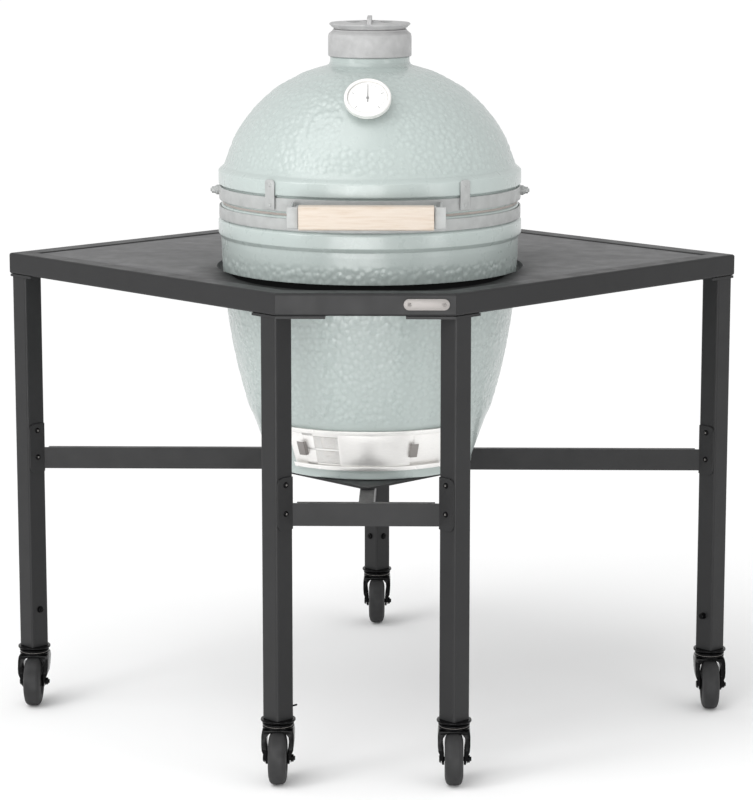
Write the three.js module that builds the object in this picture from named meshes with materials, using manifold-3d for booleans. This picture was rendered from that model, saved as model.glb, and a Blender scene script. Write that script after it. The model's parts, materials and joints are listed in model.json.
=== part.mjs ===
// A ceramic kamado grill standing in a five-legged corner work table on casters.
// Millimetres, +Z up. The table's right-angled corner points to +Y (into a room
// corner) and the cook stands at -Y. The exported group's origin is the centre of
// the footprint on the floor.
import * as THREE from "three";
import { mergeVertices } from "three/addons/utils/BufferGeometryUtils.js";
import Module from "manifold-3d";

const wasm = await Module();
wasm.setup();

// ---- driving dimensions -----------------------------------------------------

const GAP = 0.3;                    // clearance between touching pieces

// table
const TOP_Z = 885;                  // top of the frame
const TUBE = 40;                    // square tube, outside
const TUBE_WALL = 2;
const TUBE_CORNER = 4;              // outside corner radius of the tube
const HALF_SPAN = 690;              // axis to the left, right and back corners
const FRONT_HALF = 157;             // half the width of the front edge
const FRONT_Y = FRONT_HALF - HALF_SPAN;
const PANEL_DROP = 2;               // the panel lies this far below the frame
const PANEL_THICK = 3;
const CUTOUT_R = 285;
const CUTOUT_RIM = 16;              // depth of the folded rim round the cut-out
const LEG_INSET = 3;                // leg face behind the frame face
const PLATE_THICK = 4.7;            // welded plate on top of each leg
const SHEET = 3;                    // folded sheet thickness
const RAIL_LOW = 467;               // stretchers, lower and upper face
const RAIL_HIGH = 508;
const FLANGE = 14;                  // depth of a stretcher's flanges
const SHELF_THICK = 4;
const SHELF_HALF = 257;             // half diagonal of the shelf
const SHELF_SIDE = 185;             // its left and right corners are cut off here

// casters
const CASTER_H = 115;
const WHEEL_R = 47;
const WHEEL_HALF = 15.5;
const TRAIL = 20;                   // axle ahead of the swivel axis
const AXLE_R = 4;
const CROWN_R = 28;
const FLANGE_R = 29.5;

// grill
const GRILL_Y = -137;               // axis of the grill
const BASE_Z = RAIL_HIGH + SHELF_THICK + 2 * GAP;
const SPLIT_Z = 1002;               // between base and lid
const SEGMENTS = 36;                // sides of every round piece of the grill

// ---- solids -----------------------------------------------------------------

// One closed body with merged vertices and outward faces.
function clean(geometry) {
  const bare = geometry.clone();
  for (const name of ["normal", "uv"]) bare.deleteAttribute(name);
  const merged = mergeVertices(bare, 1e-3);
  const position = merged.attributes.position;
  const index = merged.index.array;
  const kept = [];
  let volume = 0;
  const [a, b, c] = [new THREE.Vector3(), new THREE.Vector3(), new THREE.Vector3()];
  for (let i = 0; i < index.length; i += 3) {
    const [p, q, r] = [index[i], index[i + 1], index[i + 2]];
    if (p === q || q === r || r === p) continue;
    kept.push(p, q, r);
    a.fromBufferAttribute(position, p);
    b.fromBufferAttribute(position, q);
    c.fromBufferAttribute(position, r);
    volume += a.dot(b.cross(c));
  }
  if (volume < 0) {
    for (let i = 0; i < kept.length; i += 3) [kept[i], kept[i + 1]] = [kept[i + 1], kept[i]];
  }
  const out = new THREE.BufferGeometry();
  out.setAttribute("position", new THREE.BufferAttribute(new Float32Array(position.array), 3));
  out.setIndex(kept);
  return out;
}

function toSolid(geometry) {
  const g = clean(geometry);
  const mesh = new wasm.Mesh({
    numProp: 3,
    vertProperties: g.attributes.position.array,
    triVerts: Uint32Array.from(g.index.array),
  });
  return new wasm.Manifold(mesh);
}

function toGeometry(solid) {
  const mesh = solid.getMesh();
  const geometry = new THREE.BufferGeometry();
  const position = new THREE.BufferAttribute(new Float32Array(mesh.vertProperties), 3);
  geometry.setAttribute("position", position);
  geometry.setIndex(Array.from(mesh.triVerts));
  return geometry;
}

function join(...pieces) {
  let solid = toSolid(pieces[0]);
  for (const piece of pieces.slice(1)) solid = solid.add(toSolid(piece));
  return toGeometry(solid);
}

function cut(body, ...tools) {
  let solid = toSolid(body);
  for (const tool of tools) solid = solid.subtract(toSolid(tool));
  return toGeometry(solid);
}

function common(first, second) {
  return toGeometry(toSolid(first).intersect(toSolid(second)));
}

// A box between two corners.
function box(x0, y0, z0, x1, y1, z1) {
  const geometry = new THREE.BoxGeometry(x1 - x0, y1 - y0, z1 - z0);
  return geometry.translate((x0 + x1) / 2, (y0 + y1) / 2, (z0 + z1) / 2);
}

// An upright cylinder from z0 to z1 on the axis (x, y).
function post(r, z0, z1, x = 0, y = 0, sides = 16) {
  const geometry = new THREE.CylinderGeometry(r, r, z1 - z0, sides).rotateX(Math.PI / 2);
  return geometry.translate(x, y, (z0 + z1) / 2);
}

// A cylinder along X from x0 to x1.
function rod(r, x0, x1, y = 0, z = 0, sides = 16) {
  const geometry = new THREE.CylinderGeometry(r, r, x1 - x0, sides).rotateZ(Math.PI / 2);
  return geometry.translate((x0 + x1) / 2, y, z);
}

// A body of revolution about Z from a profile of [radius, z] points.
function turned(profile, sides = SEGMENTS) {
  const points = profile.map(([r, z]) => new THREE.Vector2(r, z));
  if (profile[0][0] > 0) points.push(points[0].clone());
  return clean(new THREE.LatheGeometry(points, sides).rotateX(Math.PI / 2));
}

// A flat outline of [x, y] points pulled up from z0 to z1, with round holes.
function plate(outline, z0, z1, holes = []) {
  const shape = new THREE.Shape(outline.map(([x, y]) => new THREE.Vector2(x, y)));
  for (const [x, y, r, sides] of holes) {
    const hole = [];
    for (let i = 0; i < sides; i++) {
      const turn = (2 * Math.PI * i) / sides;
      hole.push(new THREE.Vector2(x + r * Math.cos(turn), y + r * Math.sin(turn)));
    }
    shape.holes.push(new THREE.Path(hole));
  }
  const flat = new THREE.ExtrudeGeometry(shape, { depth: z1 - z0, bevelEnabled: false });
  return flat.translate(0, 0, z0);
}

// A rectangle's outline with round corners, centred on the origin.
function roundRect(width, height, radius, steps = 3) {
  const points = [];
  const corners = [[1, 1, 0], [-1, 1, 1], [-1, -1, 2], [1, -1, 3]];
  for (const [sx, sy, quarter] of corners) {
    for (let i = 0; i <= steps; i++) {
      const turn = (quarter + i / steps) * (Math.PI / 2);
      points.push([
        sx * (width / 2 - radius) + radius * Math.cos(turn),
        sy * (height / 2 - radius) + radius * Math.sin(turn),
      ]);
    }
  }
  return points;
}

const squareOutline = (side) => [[1, 1], [-1, 1], [-1, -1], [1, -1]].map(
  ([x, y]) => [(x * side) / 2, (y * side) / 2]);

const mirrored = (points) => points.map(([x, y]) => [-x, y]);

// Turns a flat plate's outline into the side view: x becomes Y and y becomes Z.
const SIDE_VIEW = new THREE.Matrix4().makeBasis(
  new THREE.Vector3(0, 1, 0), new THREE.Vector3(0, 0, 1), new THREE.Vector3(1, 0, 0));

// Square tube standing on z0, open at both ends.
function uprightTube(z0, z1) {
  const outer = plate(roundRect(TUBE, TUBE, TUBE_CORNER), z0, z1);
  const bore = TUBE / 2 - TUBE_WALL;
  return cut(outer, box(-bore, -bore, z0 - 1, bore, bore, z1 + 1));
}

// ---- scene helpers ----------------------------------------------------------

const paint = {
  frame: { color: 0x484849, roughness: 0.5, metalness: 0.3 },
  panel: { color: 0x606163, roughness: 0.45, metalness: 0.4 },
  plated: { color: 0x0c0c0d, roughness: 0.2, metalness: 0.5 },
  tread: { color: 0x3c3c3e, roughness: 0.8, metalness: 0 },
  steel: { color: 0xd2d2d0, roughness: 0.3, metalness: 1 },
  glaze: { color: 0xc5d2cd, roughness: 0.25, metalness: 0 },
  band: { color: 0xb9bdba, roughness: 0.45, metalness: 0.4 },
  felt: { color: 0xa8a09a, roughness: 1, metalness: 0 },
  clay: { color: 0xb9a58e, roughness: 0.9, metalness: 0 },
  iron: { color: 0x3a3a3a, roughness: 0.7, metalness: 0.6 },
  wood: { color: 0xf0dfc8, roughness: 0.6, metalness: 0 },
  dial: { color: 0xf7f7f4, roughness: 0.4, metalness: 0 },
  cap: { color: 0xb4b9b6, roughness: 0.4, metalness: 0.3 },
};

const object = new THREE.Group();

function add(name, geometry, look, parent = object) {
  const mesh = new THREE.Mesh(geometry, new THREE.MeshStandardMaterial(paint[look]));
  mesh.name = name;
  parent.add(mesh);
  return mesh;
}

function groupAt(x, y, z = 0, turn = 0, parent = object) {
  const group = new THREE.Group();
  group.position.set(x, y, z);
  group.rotation.z = turn;
  parent.add(group);
  return group;
}

// ---- table top --------------------------------------------------------------

// The plan of the frame, counter-clockwise, with the name of the tube that
// starts at each corner.
const CORNERS = [
  { at: [-HALF_SPAN, 0], tube: "top_frame_side_left" },
  { at: [-FRONT_HALF, FRONT_Y], tube: "top_frame_front" },
  { at: [FRONT_HALF, FRONT_Y], tube: "top_frame_side_right" },
  { at: [HALF_SPAN, 0], tube: "top_frame_back_right" },
  { at: [0, HALF_SPAN], tube: "top_frame_back_left" },
];

// Half the inside angle between the edges that meet at corner i.
function halfAngle(i) {
  const n = CORNERS.length;
  const here = new THREE.Vector2(...CORNERS[i].at);
  const next = new THREE.Vector2(...CORNERS[(i + 1) % n].at).sub(here);
  const back = new THREE.Vector2(...CORNERS[(i + n - 1) % n].at).sub(here);
  return Math.acos(next.dot(back) / (next.length() * back.length())) / 2;
}

// A mitred tube along +X from 0 to length: y runs from 0 at the outer face to
// TUBE, and both ends slope so that the tubes meet on the corner's bisector.
function mitredTube(length, startHalf, endHalf) {
  const section = plate(roundRect(TUBE, TUBE, TUBE_CORNER), 0, length).applyMatrix4(SIDE_VIEW);
  const side = TUBE - 2 * TUBE_WALL;
  const hollow = plate(squareOutline(side), 0, length).applyMatrix4(SIDE_VIEW);
  for (const geometry of [section, hollow]) {
    geometry.translate(0, TUBE / 2, TOP_Z - TUBE / 2);
    const p = geometry.attributes.position;
    const reach = geometry === hollow ? 1 : -GAP / 2;
    for (let i = 0; i < p.count; i++) {
      const y = p.getY(i);
      if (p.getX(i) < length / 2) p.setX(i, y / Math.tan(startHalf) - reach);
      else p.setX(i, length - y / Math.tan(endHalf) + reach);
    }
  }
  // tabs inside the frame that the panel rests on
  const tabTop = TOP_Z - PANEL_DROP - PANEL_THICK - GAP;
  const tabs = [0.25, 0.75].map((part) =>
    box(length * part - 15, TUBE - 1, tabTop - SHEET, length * part + 15, TUBE + 16, tabTop));
  return join(cut(section, hollow), ...tabs);
}

function buildTop() {
  const n = CORNERS.length;
  CORNERS.forEach(({ at, tube }, i) => {
    const next = CORNERS[(i + 1) % n].at;
    const run = new THREE.Vector2(next[0] - at[0], next[1] - at[1]);
    const group = groupAt(at[0], at[1], 0, run.angle());
    add(tube, mitredTube(run.length(), halfAngle(i), halfAngle((i + 1) % n)), "frame", group);
  });
  // the panel fills the frame with a millimetre to spare all round
  const inset = TUBE + 1;
  const outline = CORNERS.map(({ at }, i) => {
    const next = new THREE.Vector2(...CORNERS[(i + 1) % n].at).sub(new THREE.Vector2(...at));
    const half = halfAngle(i);
    const toward = next.angle() + half;
    const reach = inset / Math.sin(half);
    return [at[0] + reach * Math.cos(toward), at[1] + reach * Math.sin(toward)];
  });
  const top = TOP_Z - PANEL_DROP;
  const sides = 48;
  const sheet = plate(outline, top - PANEL_THICK, top, [[0, GRILL_Y, CUTOUT_R, sides]]);
  const [r0, r1] = [CUTOUT_R, CUTOUT_R + PANEL_THICK];
  const rim = turned([[r0, top - CUTOUT_RIM], [r1, top - CUTOUT_RIM], [r1, top], [r0, top]], sides);
  add("top_panel", join(sheet, rim.translate(0, GRILL_Y, 0)), "panel");
}

// ---- legs and casters -------------------------------------------------------

const DIAGONAL = (LEG_INSET + TUBE / 2) * Math.SQRT2;
const FRONT_LEG_Y = FRONT_Y + LEG_INSET + TUBE / Math.SQRT2;
const LEG_SIDE = HALF_SPAN - DIAGONAL;        // left, right and back leg centres
const LEGS = [
  { name: "left", x: -LEG_SIDE, y: 0, corner: Math.PI },
  { name: "right", x: LEG_SIDE, y: 0, corner: 0 },
  { name: "back", x: 0, y: LEG_SIDE, corner: Math.PI / 2 },
  { name: "front_left", x: -FRONT_HALF, y: FRONT_LEG_Y, front: -1 },
  { name: "front_right", x: FRONT_HALF, y: FRONT_LEG_Y, front: 1 },
];

// Plate on top of a leg, following the two frame tubes that it is bolted to.
function legPlate(leg) {
  const z1 = TOP_Z - TUBE - GAP;
  const z0 = z1 - PLATE_THICK;
  if (!leg.front) {
    const near = TUBE / 2 + LEG_INSET - 1;
    const far = 40;
    const square = [[-far, -far], [near, -far], [near, near], [-far, near]];
    return plate(square, z0, z1).rotateZ(leg.corner - Math.PI / 4);
  }
  const edge = -TUBE / Math.SQRT2 - LEG_INSET + 1;
  const along = [87, 61];                     // reach along the front and side edges
  const side = along[1] / Math.SQRT2;
  const outline = [
    [-along[0], edge], [0, edge], [side, edge + side],
    [side - TUBE / Math.SQRT2, edge + side + TUBE / Math.SQRT2],
    [-TUBE, edge + 1.5 * TUBE], [-along[0], edge + TUBE],
  ];
  const shaped = plate(outline, z0, z1);
  return leg.front > 0 ? shaped : clean(shaped.scale(-1, 1, 1));
}

function buildLeg(leg) {
  const tubeTop = TOP_Z - TUBE - GAP - PLATE_THICK + 1;
  const tube = uprightTube(CASTER_H + GAP, tubeTop).rotateZ(Math.PI / 4);
  add(`leg_${leg.name}`, join(tube, legPlate(leg)), "frame", groupAt(leg.x, leg.y));
}

// Stub in the foot of the leg, with the round flange and the king pin.
function casterMount() {
  const stub = TUBE / 2 - TUBE_WALL - GAP;
  const flange = post(FLANGE_R, CASTER_H - 5, CASTER_H, 0, 0, 24);
  const plug = box(-stub, -stub, CASTER_H - 1, stub, stub, CASTER_H + 30);
  const kingPin = post(5, 94.6, CASTER_H - 4, 0, 0, 16);
  const head = post(8, 94.6, 96.6, 0, 0, 16);
  return join(flange, plug.rotateZ(Math.PI / 4), kingPin, head);
}

// Fork: the front view's arch, limited by the side view's outline, under the
// ball race that turns on the king pin.
function casterFork() {
  const top = 101;
  const outer = [[21, 36], [22.5, 55], [26.5, 66], [29, 78], [29, 90], [CROWN_R, top]];
  const inner = [[17.5, 36], [17.9, 55], [19.4, 66], [21, 78], [20, 90], [12, 97]];
  const outline = [
    ...outer, ...mirrored(outer).reverse(), ...mirrored(inner), ...inner.slice().reverse()];
  const arch = plate(outline, -30, 40).rotateX(Math.PI / 2);
  const side = [[-24, top + 1], [-24, 90], [-TRAIL - 10, 66], [-TRAIL - 12, 50],
    [-TRAIL - 9, 40], [-TRAIL, 37], [-TRAIL + 9, 40], [-TRAIL + 12, 50], [24, 90], [24, top + 1]];
  const cheeks = common(arch, plate(side, -40, 40).applyMatrix4(SIDE_VIEW));
  const race = turned([[0, 97.2], [24, 97.2], [CROWN_R, 100], [CROWN_R, 106],
    [CROWN_R - 2, 109.6], [0, 109.6]], 16);
  const bore = AXLE_R + GAP;
  return cut(join(cheeks, race), post(5 + GAP, 90, 115), rod(bore, -30, 30, -TRAIL, WHEEL_R));
}

// Wheel about X: rounded tread, recessed sides and a bore for the axle.
function casterWheel() {
  const bore = AXLE_R + GAP;
  const half = [
    [bore, 16.8], [10, 16.8], [11, 12], [33, 12], [36, WHEEL_HALF],
    [42, WHEEL_HALF - 1], [46, WHEEL_HALF - 6], [WHEEL_R, WHEEL_HALF - 12],
  ];
  const other = half.slice().reverse().map(([r, x]) => [r, -x]);
  return turned([...half, ...other], 20).rotateY(Math.PI / 2);
}

function casterAxle() {
  const head = rod(7, -26.5, -22.8, 0, 0, 6);
  const nut = rod(7.5, 22.8, 29, 0, 0, 6);
  return join(rod(AXLE_R, -26, 31), head, nut);
}

function buildCaster(leg) {
  const group = groupAt(leg.x, leg.y);
  add(`caster_mount_${leg.name}`, casterMount(), "plated", group);
  add(`caster_fork_${leg.name}`, casterFork(), "plated", group);
  const hub = groupAt(0, -TRAIL, WHEEL_R, 0, group);
  add(`caster_wheel_${leg.name}`, casterWheel(), "tread", hub);
  add(`caster_axle_${leg.name}`, casterAxle(), "plated", hub);
}

// ---- stretchers and shelf ---------------------------------------------------

// Folded channel along X between two legs whose centres are halfSpan either
// side; its end tabs lie on the legs' slanting front inner faces.
function stretcher(halfSpan) {
  const web = -5;
  const flangeEnd = halfSpan - TUBE / Math.SQRT2 - 7;
  const webEnd = halfSpan - TUBE / Math.SQRT2 + 1.2;
  const pieces = [
    box(-webEnd, web, RAIL_LOW, webEnd, web + SHEET, RAIL_HIGH),
    box(-flangeEnd, web, RAIL_HIGH - SHEET, flangeEnd, web + FLANGE, RAIL_HIGH),
    box(-flangeEnd, web, RAIL_LOW, flangeEnd, web + FLANGE, RAIL_LOW + SHEET),
  ];
  const tab = [[-17.5, 10], [-14.5, 3], [-7.5, 0], [17.5, 0], [17.5, 94], [-7.5, 94],
    [-14.5, 91], [-17.5, 84]];
  for (const sign of [-1, 1]) {
    // tab drawn in its own plane, then turned to face the front and the middle
    const flat = plate(tab.map(([s, z]) => [s - 0.5, z]), 0, SHEET).rotateX(Math.PI / 2);
    flat.translate(0, -TUBE / 2 - GAP, RAIL_LOW - 5);
    flat.rotateZ(Math.PI / 4);
    flat.translate(-halfSpan, 0, 0);
    pieces.push(sign < 0 ? flat : clean(flat.clone().scale(-1, 1, 1)));
  }
  return join(...pieces);
}

const SPINE_HALF = 13;

// Inverted channel from y0 to y1, open below and closed at both ends.
function channel(y0, y1, z0, z1) {
  const w = SPINE_HALF;
  const inner = w - SHEET;
  return cut(
    box(-w, y0, z0, w, y1, z1),
    box(-inner, y0 + SHEET, z0 - 1, inner, y1 - SHEET, z1 - SHEET));
}

// Rail along Y whose shallower tongue, from tongueY to y0, reaches between the
// flanges of the stretcher in front of it.
function spineRail(tongueY, y0, y1) {
  const tongue = channel(tongueY, y0 + 1, RAIL_LOW + SHEET + GAP, RAIL_HIGH - SHEET - GAP);
  return join(channel(y0, y1, RAIL_LOW, RAIL_HIGH), tongue);
}

// The back rail ends in two tabs on the back leg's slanting front faces.
function backRail(tongueY, y0) {
  const legFront = LEG_SIDE - TUBE / Math.SQRT2;
  const face = -TUBE / 2 - GAP;
  const tab = box(-18, face - SHEET, RAIL_LOW - 5, 16, face, RAIL_HIGH + 40);
  tab.rotateZ(-Math.PI / 4).translate(0, LEG_SIDE, 0);
  const cheek = box(SPINE_HALF - SHEET, legFront - 20, RAIL_LOW, SPINE_HALF, legFront + 6.3,
    RAIL_HIGH);
  const pair = (geometry) => [geometry, clean(geometry.clone().scale(-1, 1, 1))];
  return join(spineRail(tongueY, y0, legFront - 4), ...pair(tab), ...pair(cheek));
}

function buildStretchers() {
  const webBack = SHEET - 5 + GAP;
  const flangeTip = FLANGE - 5 + GAP;
  add("cross_stretcher", stretcher(LEG_SIDE), "frame");
  add("front_stretcher", stretcher(FRONT_HALF), "frame", groupAt(0, FRONT_LEG_Y));
  const front = spineRail(FRONT_LEG_Y + webBack, FRONT_LEG_Y + flangeTip, -5 - GAP);
  add("spine_rail_front", front, "frame");
  add("spine_rail_back", backRail(webBack, flangeTip), "frame");
  const low = RAIL_HIGH + GAP;
  const side = SHELF_HALF * Math.SQRT2;
  const square = plate(roundRect(side, side, 6), low, low + SHELF_THICK).rotateZ(Math.PI / 4);
  const between = box(-SHELF_SIDE, -SHELF_HALF, low - 1, SHELF_SIDE, SHELF_HALF, BASE_Z + 1);
  add("base_shelf", common(square, between), "frame", groupAt(0, GRILL_Y));
}

// Blank pill-shaped plate on the front tube.
function buildBadge() {
  const outline = roundRect(80, 20, 9.99, 6);
  const blank = plate(outline, GAP, 2.5).rotateX(Math.PI / 2);
  add("name_badge", blank, "steel", groupAt(106, FRONT_Y, TOP_Z - 19));
}

// ---- grill base -------------------------------------------------------------

const grill = groupAt(0, GRILL_Y);

// Outer radius of the straight cone behind the draft door.
const coneRadius = (z) => 199 + 0.36 * (z - 550);

const degrees = (angle) => (angle * Math.PI) / 180;

// An upright wedge between two angles, measured from the front towards +X.
function wedge(a0, a1, r0, r1, z0, z1) {
  const at = (r, angle) => [r * Math.sin(degrees(angle)), -r * Math.cos(degrees(angle))];
  const steps = 3;
  const inner = [];
  const outer = [];
  for (let i = 0; i <= steps; i++) {
    const angle = a0 + ((a1 - a0) * i) / steps;
    outer.push(at(r1, angle));
    inner.unshift(at(r0, angle));
  }
  return plate([...outer, ...inner], z0, z1);
}

const DRAFT = { low: 531, high: 608.5, window: [-28, 8], sill: 540, head: 598 };
const FOOT_R = 190;                 // upright foot at the bottom of the base

function grillBase() {
  const rim = SPLIT_Z - 2;
  const shell = turned([
    [0, BASE_Z], [FOOT_R - 3, BASE_Z], [FOOT_R, BASE_Z + 3], [FOOT_R, 525],
    [coneRadius(610), 610], [227, 626], [247, 703],
    [264, 794], [273, 885], [276, 930], [280, 946], [280, 969], [274.5, 974], [274.5, rim],
    [246, rim], [246, 885], [236, 794], [219, 703], [199, 626], [171, 550], [160, 545], [0, 545],
  ]);
  const [from, to] = DRAFT.window;
  return cut(shell, wedge(from, to, 140, 260, DRAFT.sill, DRAFT.head));
}

function buildInside() {
  const floor = 545 + GAP;
  const firebox = turned([
    [150, floor], [163, 552], [192, 626], [212, 703], [229, 794], [229, 800], [207, 800],
    [190, 703], [155, 650], [140, 640], [100, 640], [100, 612], [128, 600], [132, floor]]);
  const [from, to] = DRAFT.window;
  add("firebox", cut(firebox, wedge(from, to, 90, 260, floor - 1, 590)), "clay", grill);
  const ringLow = 800 + GAP;
  add("fire_ring", turned([[208, ringLow], [232, ringLow], [232, 925], [208, 925]]), "clay", grill);
  // plate with slots that holds the charcoal
  const slots = [-80, -40, 0, 40, 80].map((y) => {
    const half = Math.sqrt(115 ** 2 - y ** 2);
    return box(-half, y - 7, 600, half, y + 7, 700);
  });
  const grate = turned([[0, 640 + GAP], [136, 640 + GAP], [136, 648], [0, 648]]);
  add("charcoal_grate", cut(grate, ...slots), "iron", grill);
  // round grid of parallel bars with a rim
  const low = 925 + GAP;
  const rim = turned([[224, low], [230, low], [230, low + 6], [224, low + 6]]);
  const bars = [];
  for (let x = -204; x <= 204; x += 51) {
    const half = Math.sqrt(226 ** 2 - x ** 2);
    bars.push(box(x - 4, -half, low + 1, x + 4, half, low + 5));
  }
  const across = [-80, 80].map((y) => box(-210, y - 3, low + 0.5, 210, y + 3, low + 3));
  add("cooking_grid", join(rim, ...bars, ...across), "steel", grill);
}

// Ring of the draft door's layers, between two distances from the cone.
function coneRing(near, far, z0, z1) {
  return turned([
    [coneRadius(z0) + near, z0], [coneRadius(z0) + far, z0],
    [coneRadius(z1) + far, z1], [coneRadius(z1) + near, z1]], 2 * SEGMENTS);
}

function coneSector(a0, a1, near, far, z0, z1) {
  return common(coneRing(near, far, z0, z1), wedge(a0, a1, 150, 260, z0 - 1, z1 + 1));
}

// Stainless frame with two tracks; the mesh screen slides in the inner one and
// the door in the outer one, both about the grill's upright axis.
function buildDraftDoor() {
  const { low, high, sill, head } = DRAFT;
  const [from, to] = DRAFT.window;
  const reach = 42;
  const back = cut(coneSector(-reach, reach, 1, 2.2, low, high),
    wedge(from, to, 150, 260, sill, head));
  const tracks = [[low, low + 4.5, low + 8], [high - 4.5, high, high - 8]];
  const rails = tracks.flatMap(([z0, z1, lip]) => [
    coneSector(-reach, reach, 1.5, 7.5, z0, z1),
    coneSector(-reach, reach, 6.6, 8, Math.min(z0, lip), Math.max(z1, lip)),
  ]);
  add("draft_frame", join(back, ...rails), "steel", grill);

  const inner = low + 5;
  const outer = high - 5;
  const middle = (inner + outer) / 2;
  const windows = [];
  for (let angle = from + 1; angle < to - 3; angle += 4.2) {
    windows.push(wedge(angle, angle + 3.2, 150, 260, sill + 3, middle - 2));
    windows.push(wedge(angle, angle + 3.2, 150, 260, middle + 2, head - 3));
  }
  // a pull tab's web stands out of its sheet and its lip turns away from the window
  const tab = (web, lip, near) => [
    coneSector(web, web + 0.8, near, 13, middle - 13, middle + 13),
    coneSector(Math.min(web, lip), Math.max(web + 0.8, lip), 12, 13.2, middle - 13, middle + 13),
  ];
  const screen = cut(coneSector(-33, 9.5, 2.8, 4, inner, outer), ...windows);
  add("draft_screen", join(screen, ...tab(-32.5, -35.5, 3.5)), "steel", grill);
  const door = coneSector(-14, 22, 4.6, 6, inner, outer);
  add("draft_door", join(door, ...tab(20.7, 24.5, 5.5)), "steel", grill);
}

// ---- bands and hinge --------------------------------------------------------

const BAND_IN = 275;
const BAND_OUT = 278.5;
const HINGE_Y = 304;
const HINGE_Z = SPLIT_Z;
const PIN_R = 4;
const KNUCKLE_R = 9;
const LOWER_BAND = [974.5, 996];
const UPPER_BAND = [1008, 1032];

const bandRing = ([z0, z1]) => turned([
  [BAND_IN, z0], [BAND_OUT, z0], [BAND_OUT, z1], [BAND_IN, z1]]);

// Hinge ear on a band: an arm out to the pin and a knuckle round it, with
// sign +1 above the pin and -1 below it.
function hingeEar(x0, x1, [z0, z1], sign) {
  const foot = (sign > 0 ? z1 : z0) - sign;
  const near = (sign > 0 ? z0 : z1) + 2 * sign;
  const span = [Math.min(foot, near), Math.max(foot, near)];
  const stand = [Math.min(near + 4 * sign, HINGE_Z), Math.max(near + 4 * sign, HINGE_Z)];
  const reach = Math.max(Math.abs(x0), Math.abs(x1));
  const start = Math.sqrt(BAND_OUT ** 2 - reach ** 2) - 1.5;
  return [
    box(x0, start, span[0], x1, HINGE_Y - 4, span[1]),
    box(x0, HINGE_Y - 7.5, stand[0], x1, HINGE_Y + 6, stand[1]),
    rod(KNUCKLE_R, x0, x1, HINGE_Y, HINGE_Z),
  ];
}

function buildLowerBand() {
  const ears = [[30, 48], [-48, -30]].flatMap(([x0, x1]) => hingeEar(x0, x1, LOWER_BAND, -1));
  const pinHole = rod(PIN_R + GAP, -60, 60, HINGE_Y, HINGE_Z);
  add("lower_band", cut(join(bandRing(LOWER_BAND), ...ears), pinHole), "band", grill);
  const pin = join(rod(PIN_R, -52, 52), rod(7, 48.6, 53, 0, 0, 12), rod(7, -53, -48.6, 0, 0, 12));
  add("hinge_pin", pin, "steel", groupAt(0, HINGE_Y, HINGE_Z, 0, grill));
  const coil = turned([[4.8, -9.5], [8.6, -9.5], [8.6, 9.5], [4.8, 9.5]], 20).rotateY(Math.PI / 2);
  add("hinge_spring", coil, "steel", groupAt(0, HINGE_Y, HINGE_Z, 0, grill));
}

function buildUpperBand() {
  const ears = [[10.5, 29.4], [-29.4, -10.5]].flatMap(
    ([x0, x1]) => hingeEar(x0, x1, UPPER_BAND, 1));
  const lugs = [-1, 1].map((side) =>
    box(side * 286 - 9, -9, UPPER_BAND[0] + 1, side * 286 + 9, 9, UPPER_BAND[1] + 2.5));
  const tabs = [-38, 38].flatMap((angle) => [
    wedge(angle - 2.15, angle + 2.15, BAND_OUT - 2, 283.4, UPPER_BAND[0] + 4, UPPER_BAND[1] + 2),
    wedge(angle - 2.15, angle + 2.15, 280.4, 283.4, UPPER_BAND[1], 1063),
  ]);
  const pinHole = rod(PIN_R + GAP, -60, 60, HINGE_Y, HINGE_Z);
  const band = join(bandRing(UPPER_BAND), ...lugs, ...tabs, ...ears);
  add("upper_band", cut(band, pinHole), "band", grill);
}

// ---- lid --------------------------------------------------------------------

const GAUGE = { r: 209, z: 1209, lift: 42 };

function gaugeGroup() {
  const group = groupAt(0, -GAUGE.r, GAUGE.z, 0, grill);
  group.rotation.x = degrees(90 - GAUGE.lift);
  return group;
}

function dome() {
  const rim = SPLIT_Z + 2 + GAP;
  const shell = turned([
    [246, rim], [274.5, rim], [274.5, 1034], [279.5, 1036], [279.5, 1062], [270, 1068],
    [264, 1083], [253, 1113], [237, 1142], [214, 1172], [192, 1194], [174, 1209], [147, 1224],
    [119, 1239], [98, 1246], [78, 1253], [73, 1258], [73, 1268], [58, 1268], [58, 1240],
    [100, 1212], [150, 1186], [200, 1140], [236, 1085], [246, 1040]]);
  const stem = post(5, -120, 10).rotateX(degrees(90 - GAUGE.lift));
  return cut(shell, stem.translate(0, -GAUGE.r, GAUGE.z));
}

function buildGauge() {
  const group = gaugeGroup();
  const cup = turned([
    [0, -13], [37, -13], [42, -9], [42, 0], [40, 2], [36, 2], [36, -3], [0, -3]], 24);
  add("thermometer_case", join(cup, post(12, -19, -12), post(4, -80, -18)), "steel", group);
  const dial = turned([[0, -3 + GAP], [35.4, -3 + GAP], [35.4, -2], [0, -2]], 24);
  add("thermometer_dial", dial, "dial", group);
  const pointer = box(-1.3, -9, -1.2, 1.3, 27, -0.4);
  add("thermometer_needle", join(post(3.2, -2 + GAP, 0), pointer), "iron", group);
}

function buildHandle() {
  const [x0, x1] = [119.2, 139];
  const [front, back] = [-331, -311];
  const ends = [-1, 1].flatMap((side) => {
    const span = (a, b) => [Math.min(side * a, side * b), Math.max(side * a, side * b)];
    const [p0, p1] = span(x0, x1);
    const [a0, a1] = span(127, 133);
    return [box(p0, front, 989, p1, back, 1028), box(a0, back - 2, 1010, a1, -248.2, 1028)];
  });
  const strap = box(-x0 - 1, -314.5, 1000, x0 + 1, back, 1018);
  add("handle_bracket", join(strap, ...ends), "band", grill);
  const bar = plate(roundRect(27, 43, 5), -118.5, 118.5).applyMatrix4(SIDE_VIEW);
  add("wooden_handle", bar, "wood", groupAt(0, -314.8 - 13.5, 1008.5, 0, grill));
}

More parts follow.
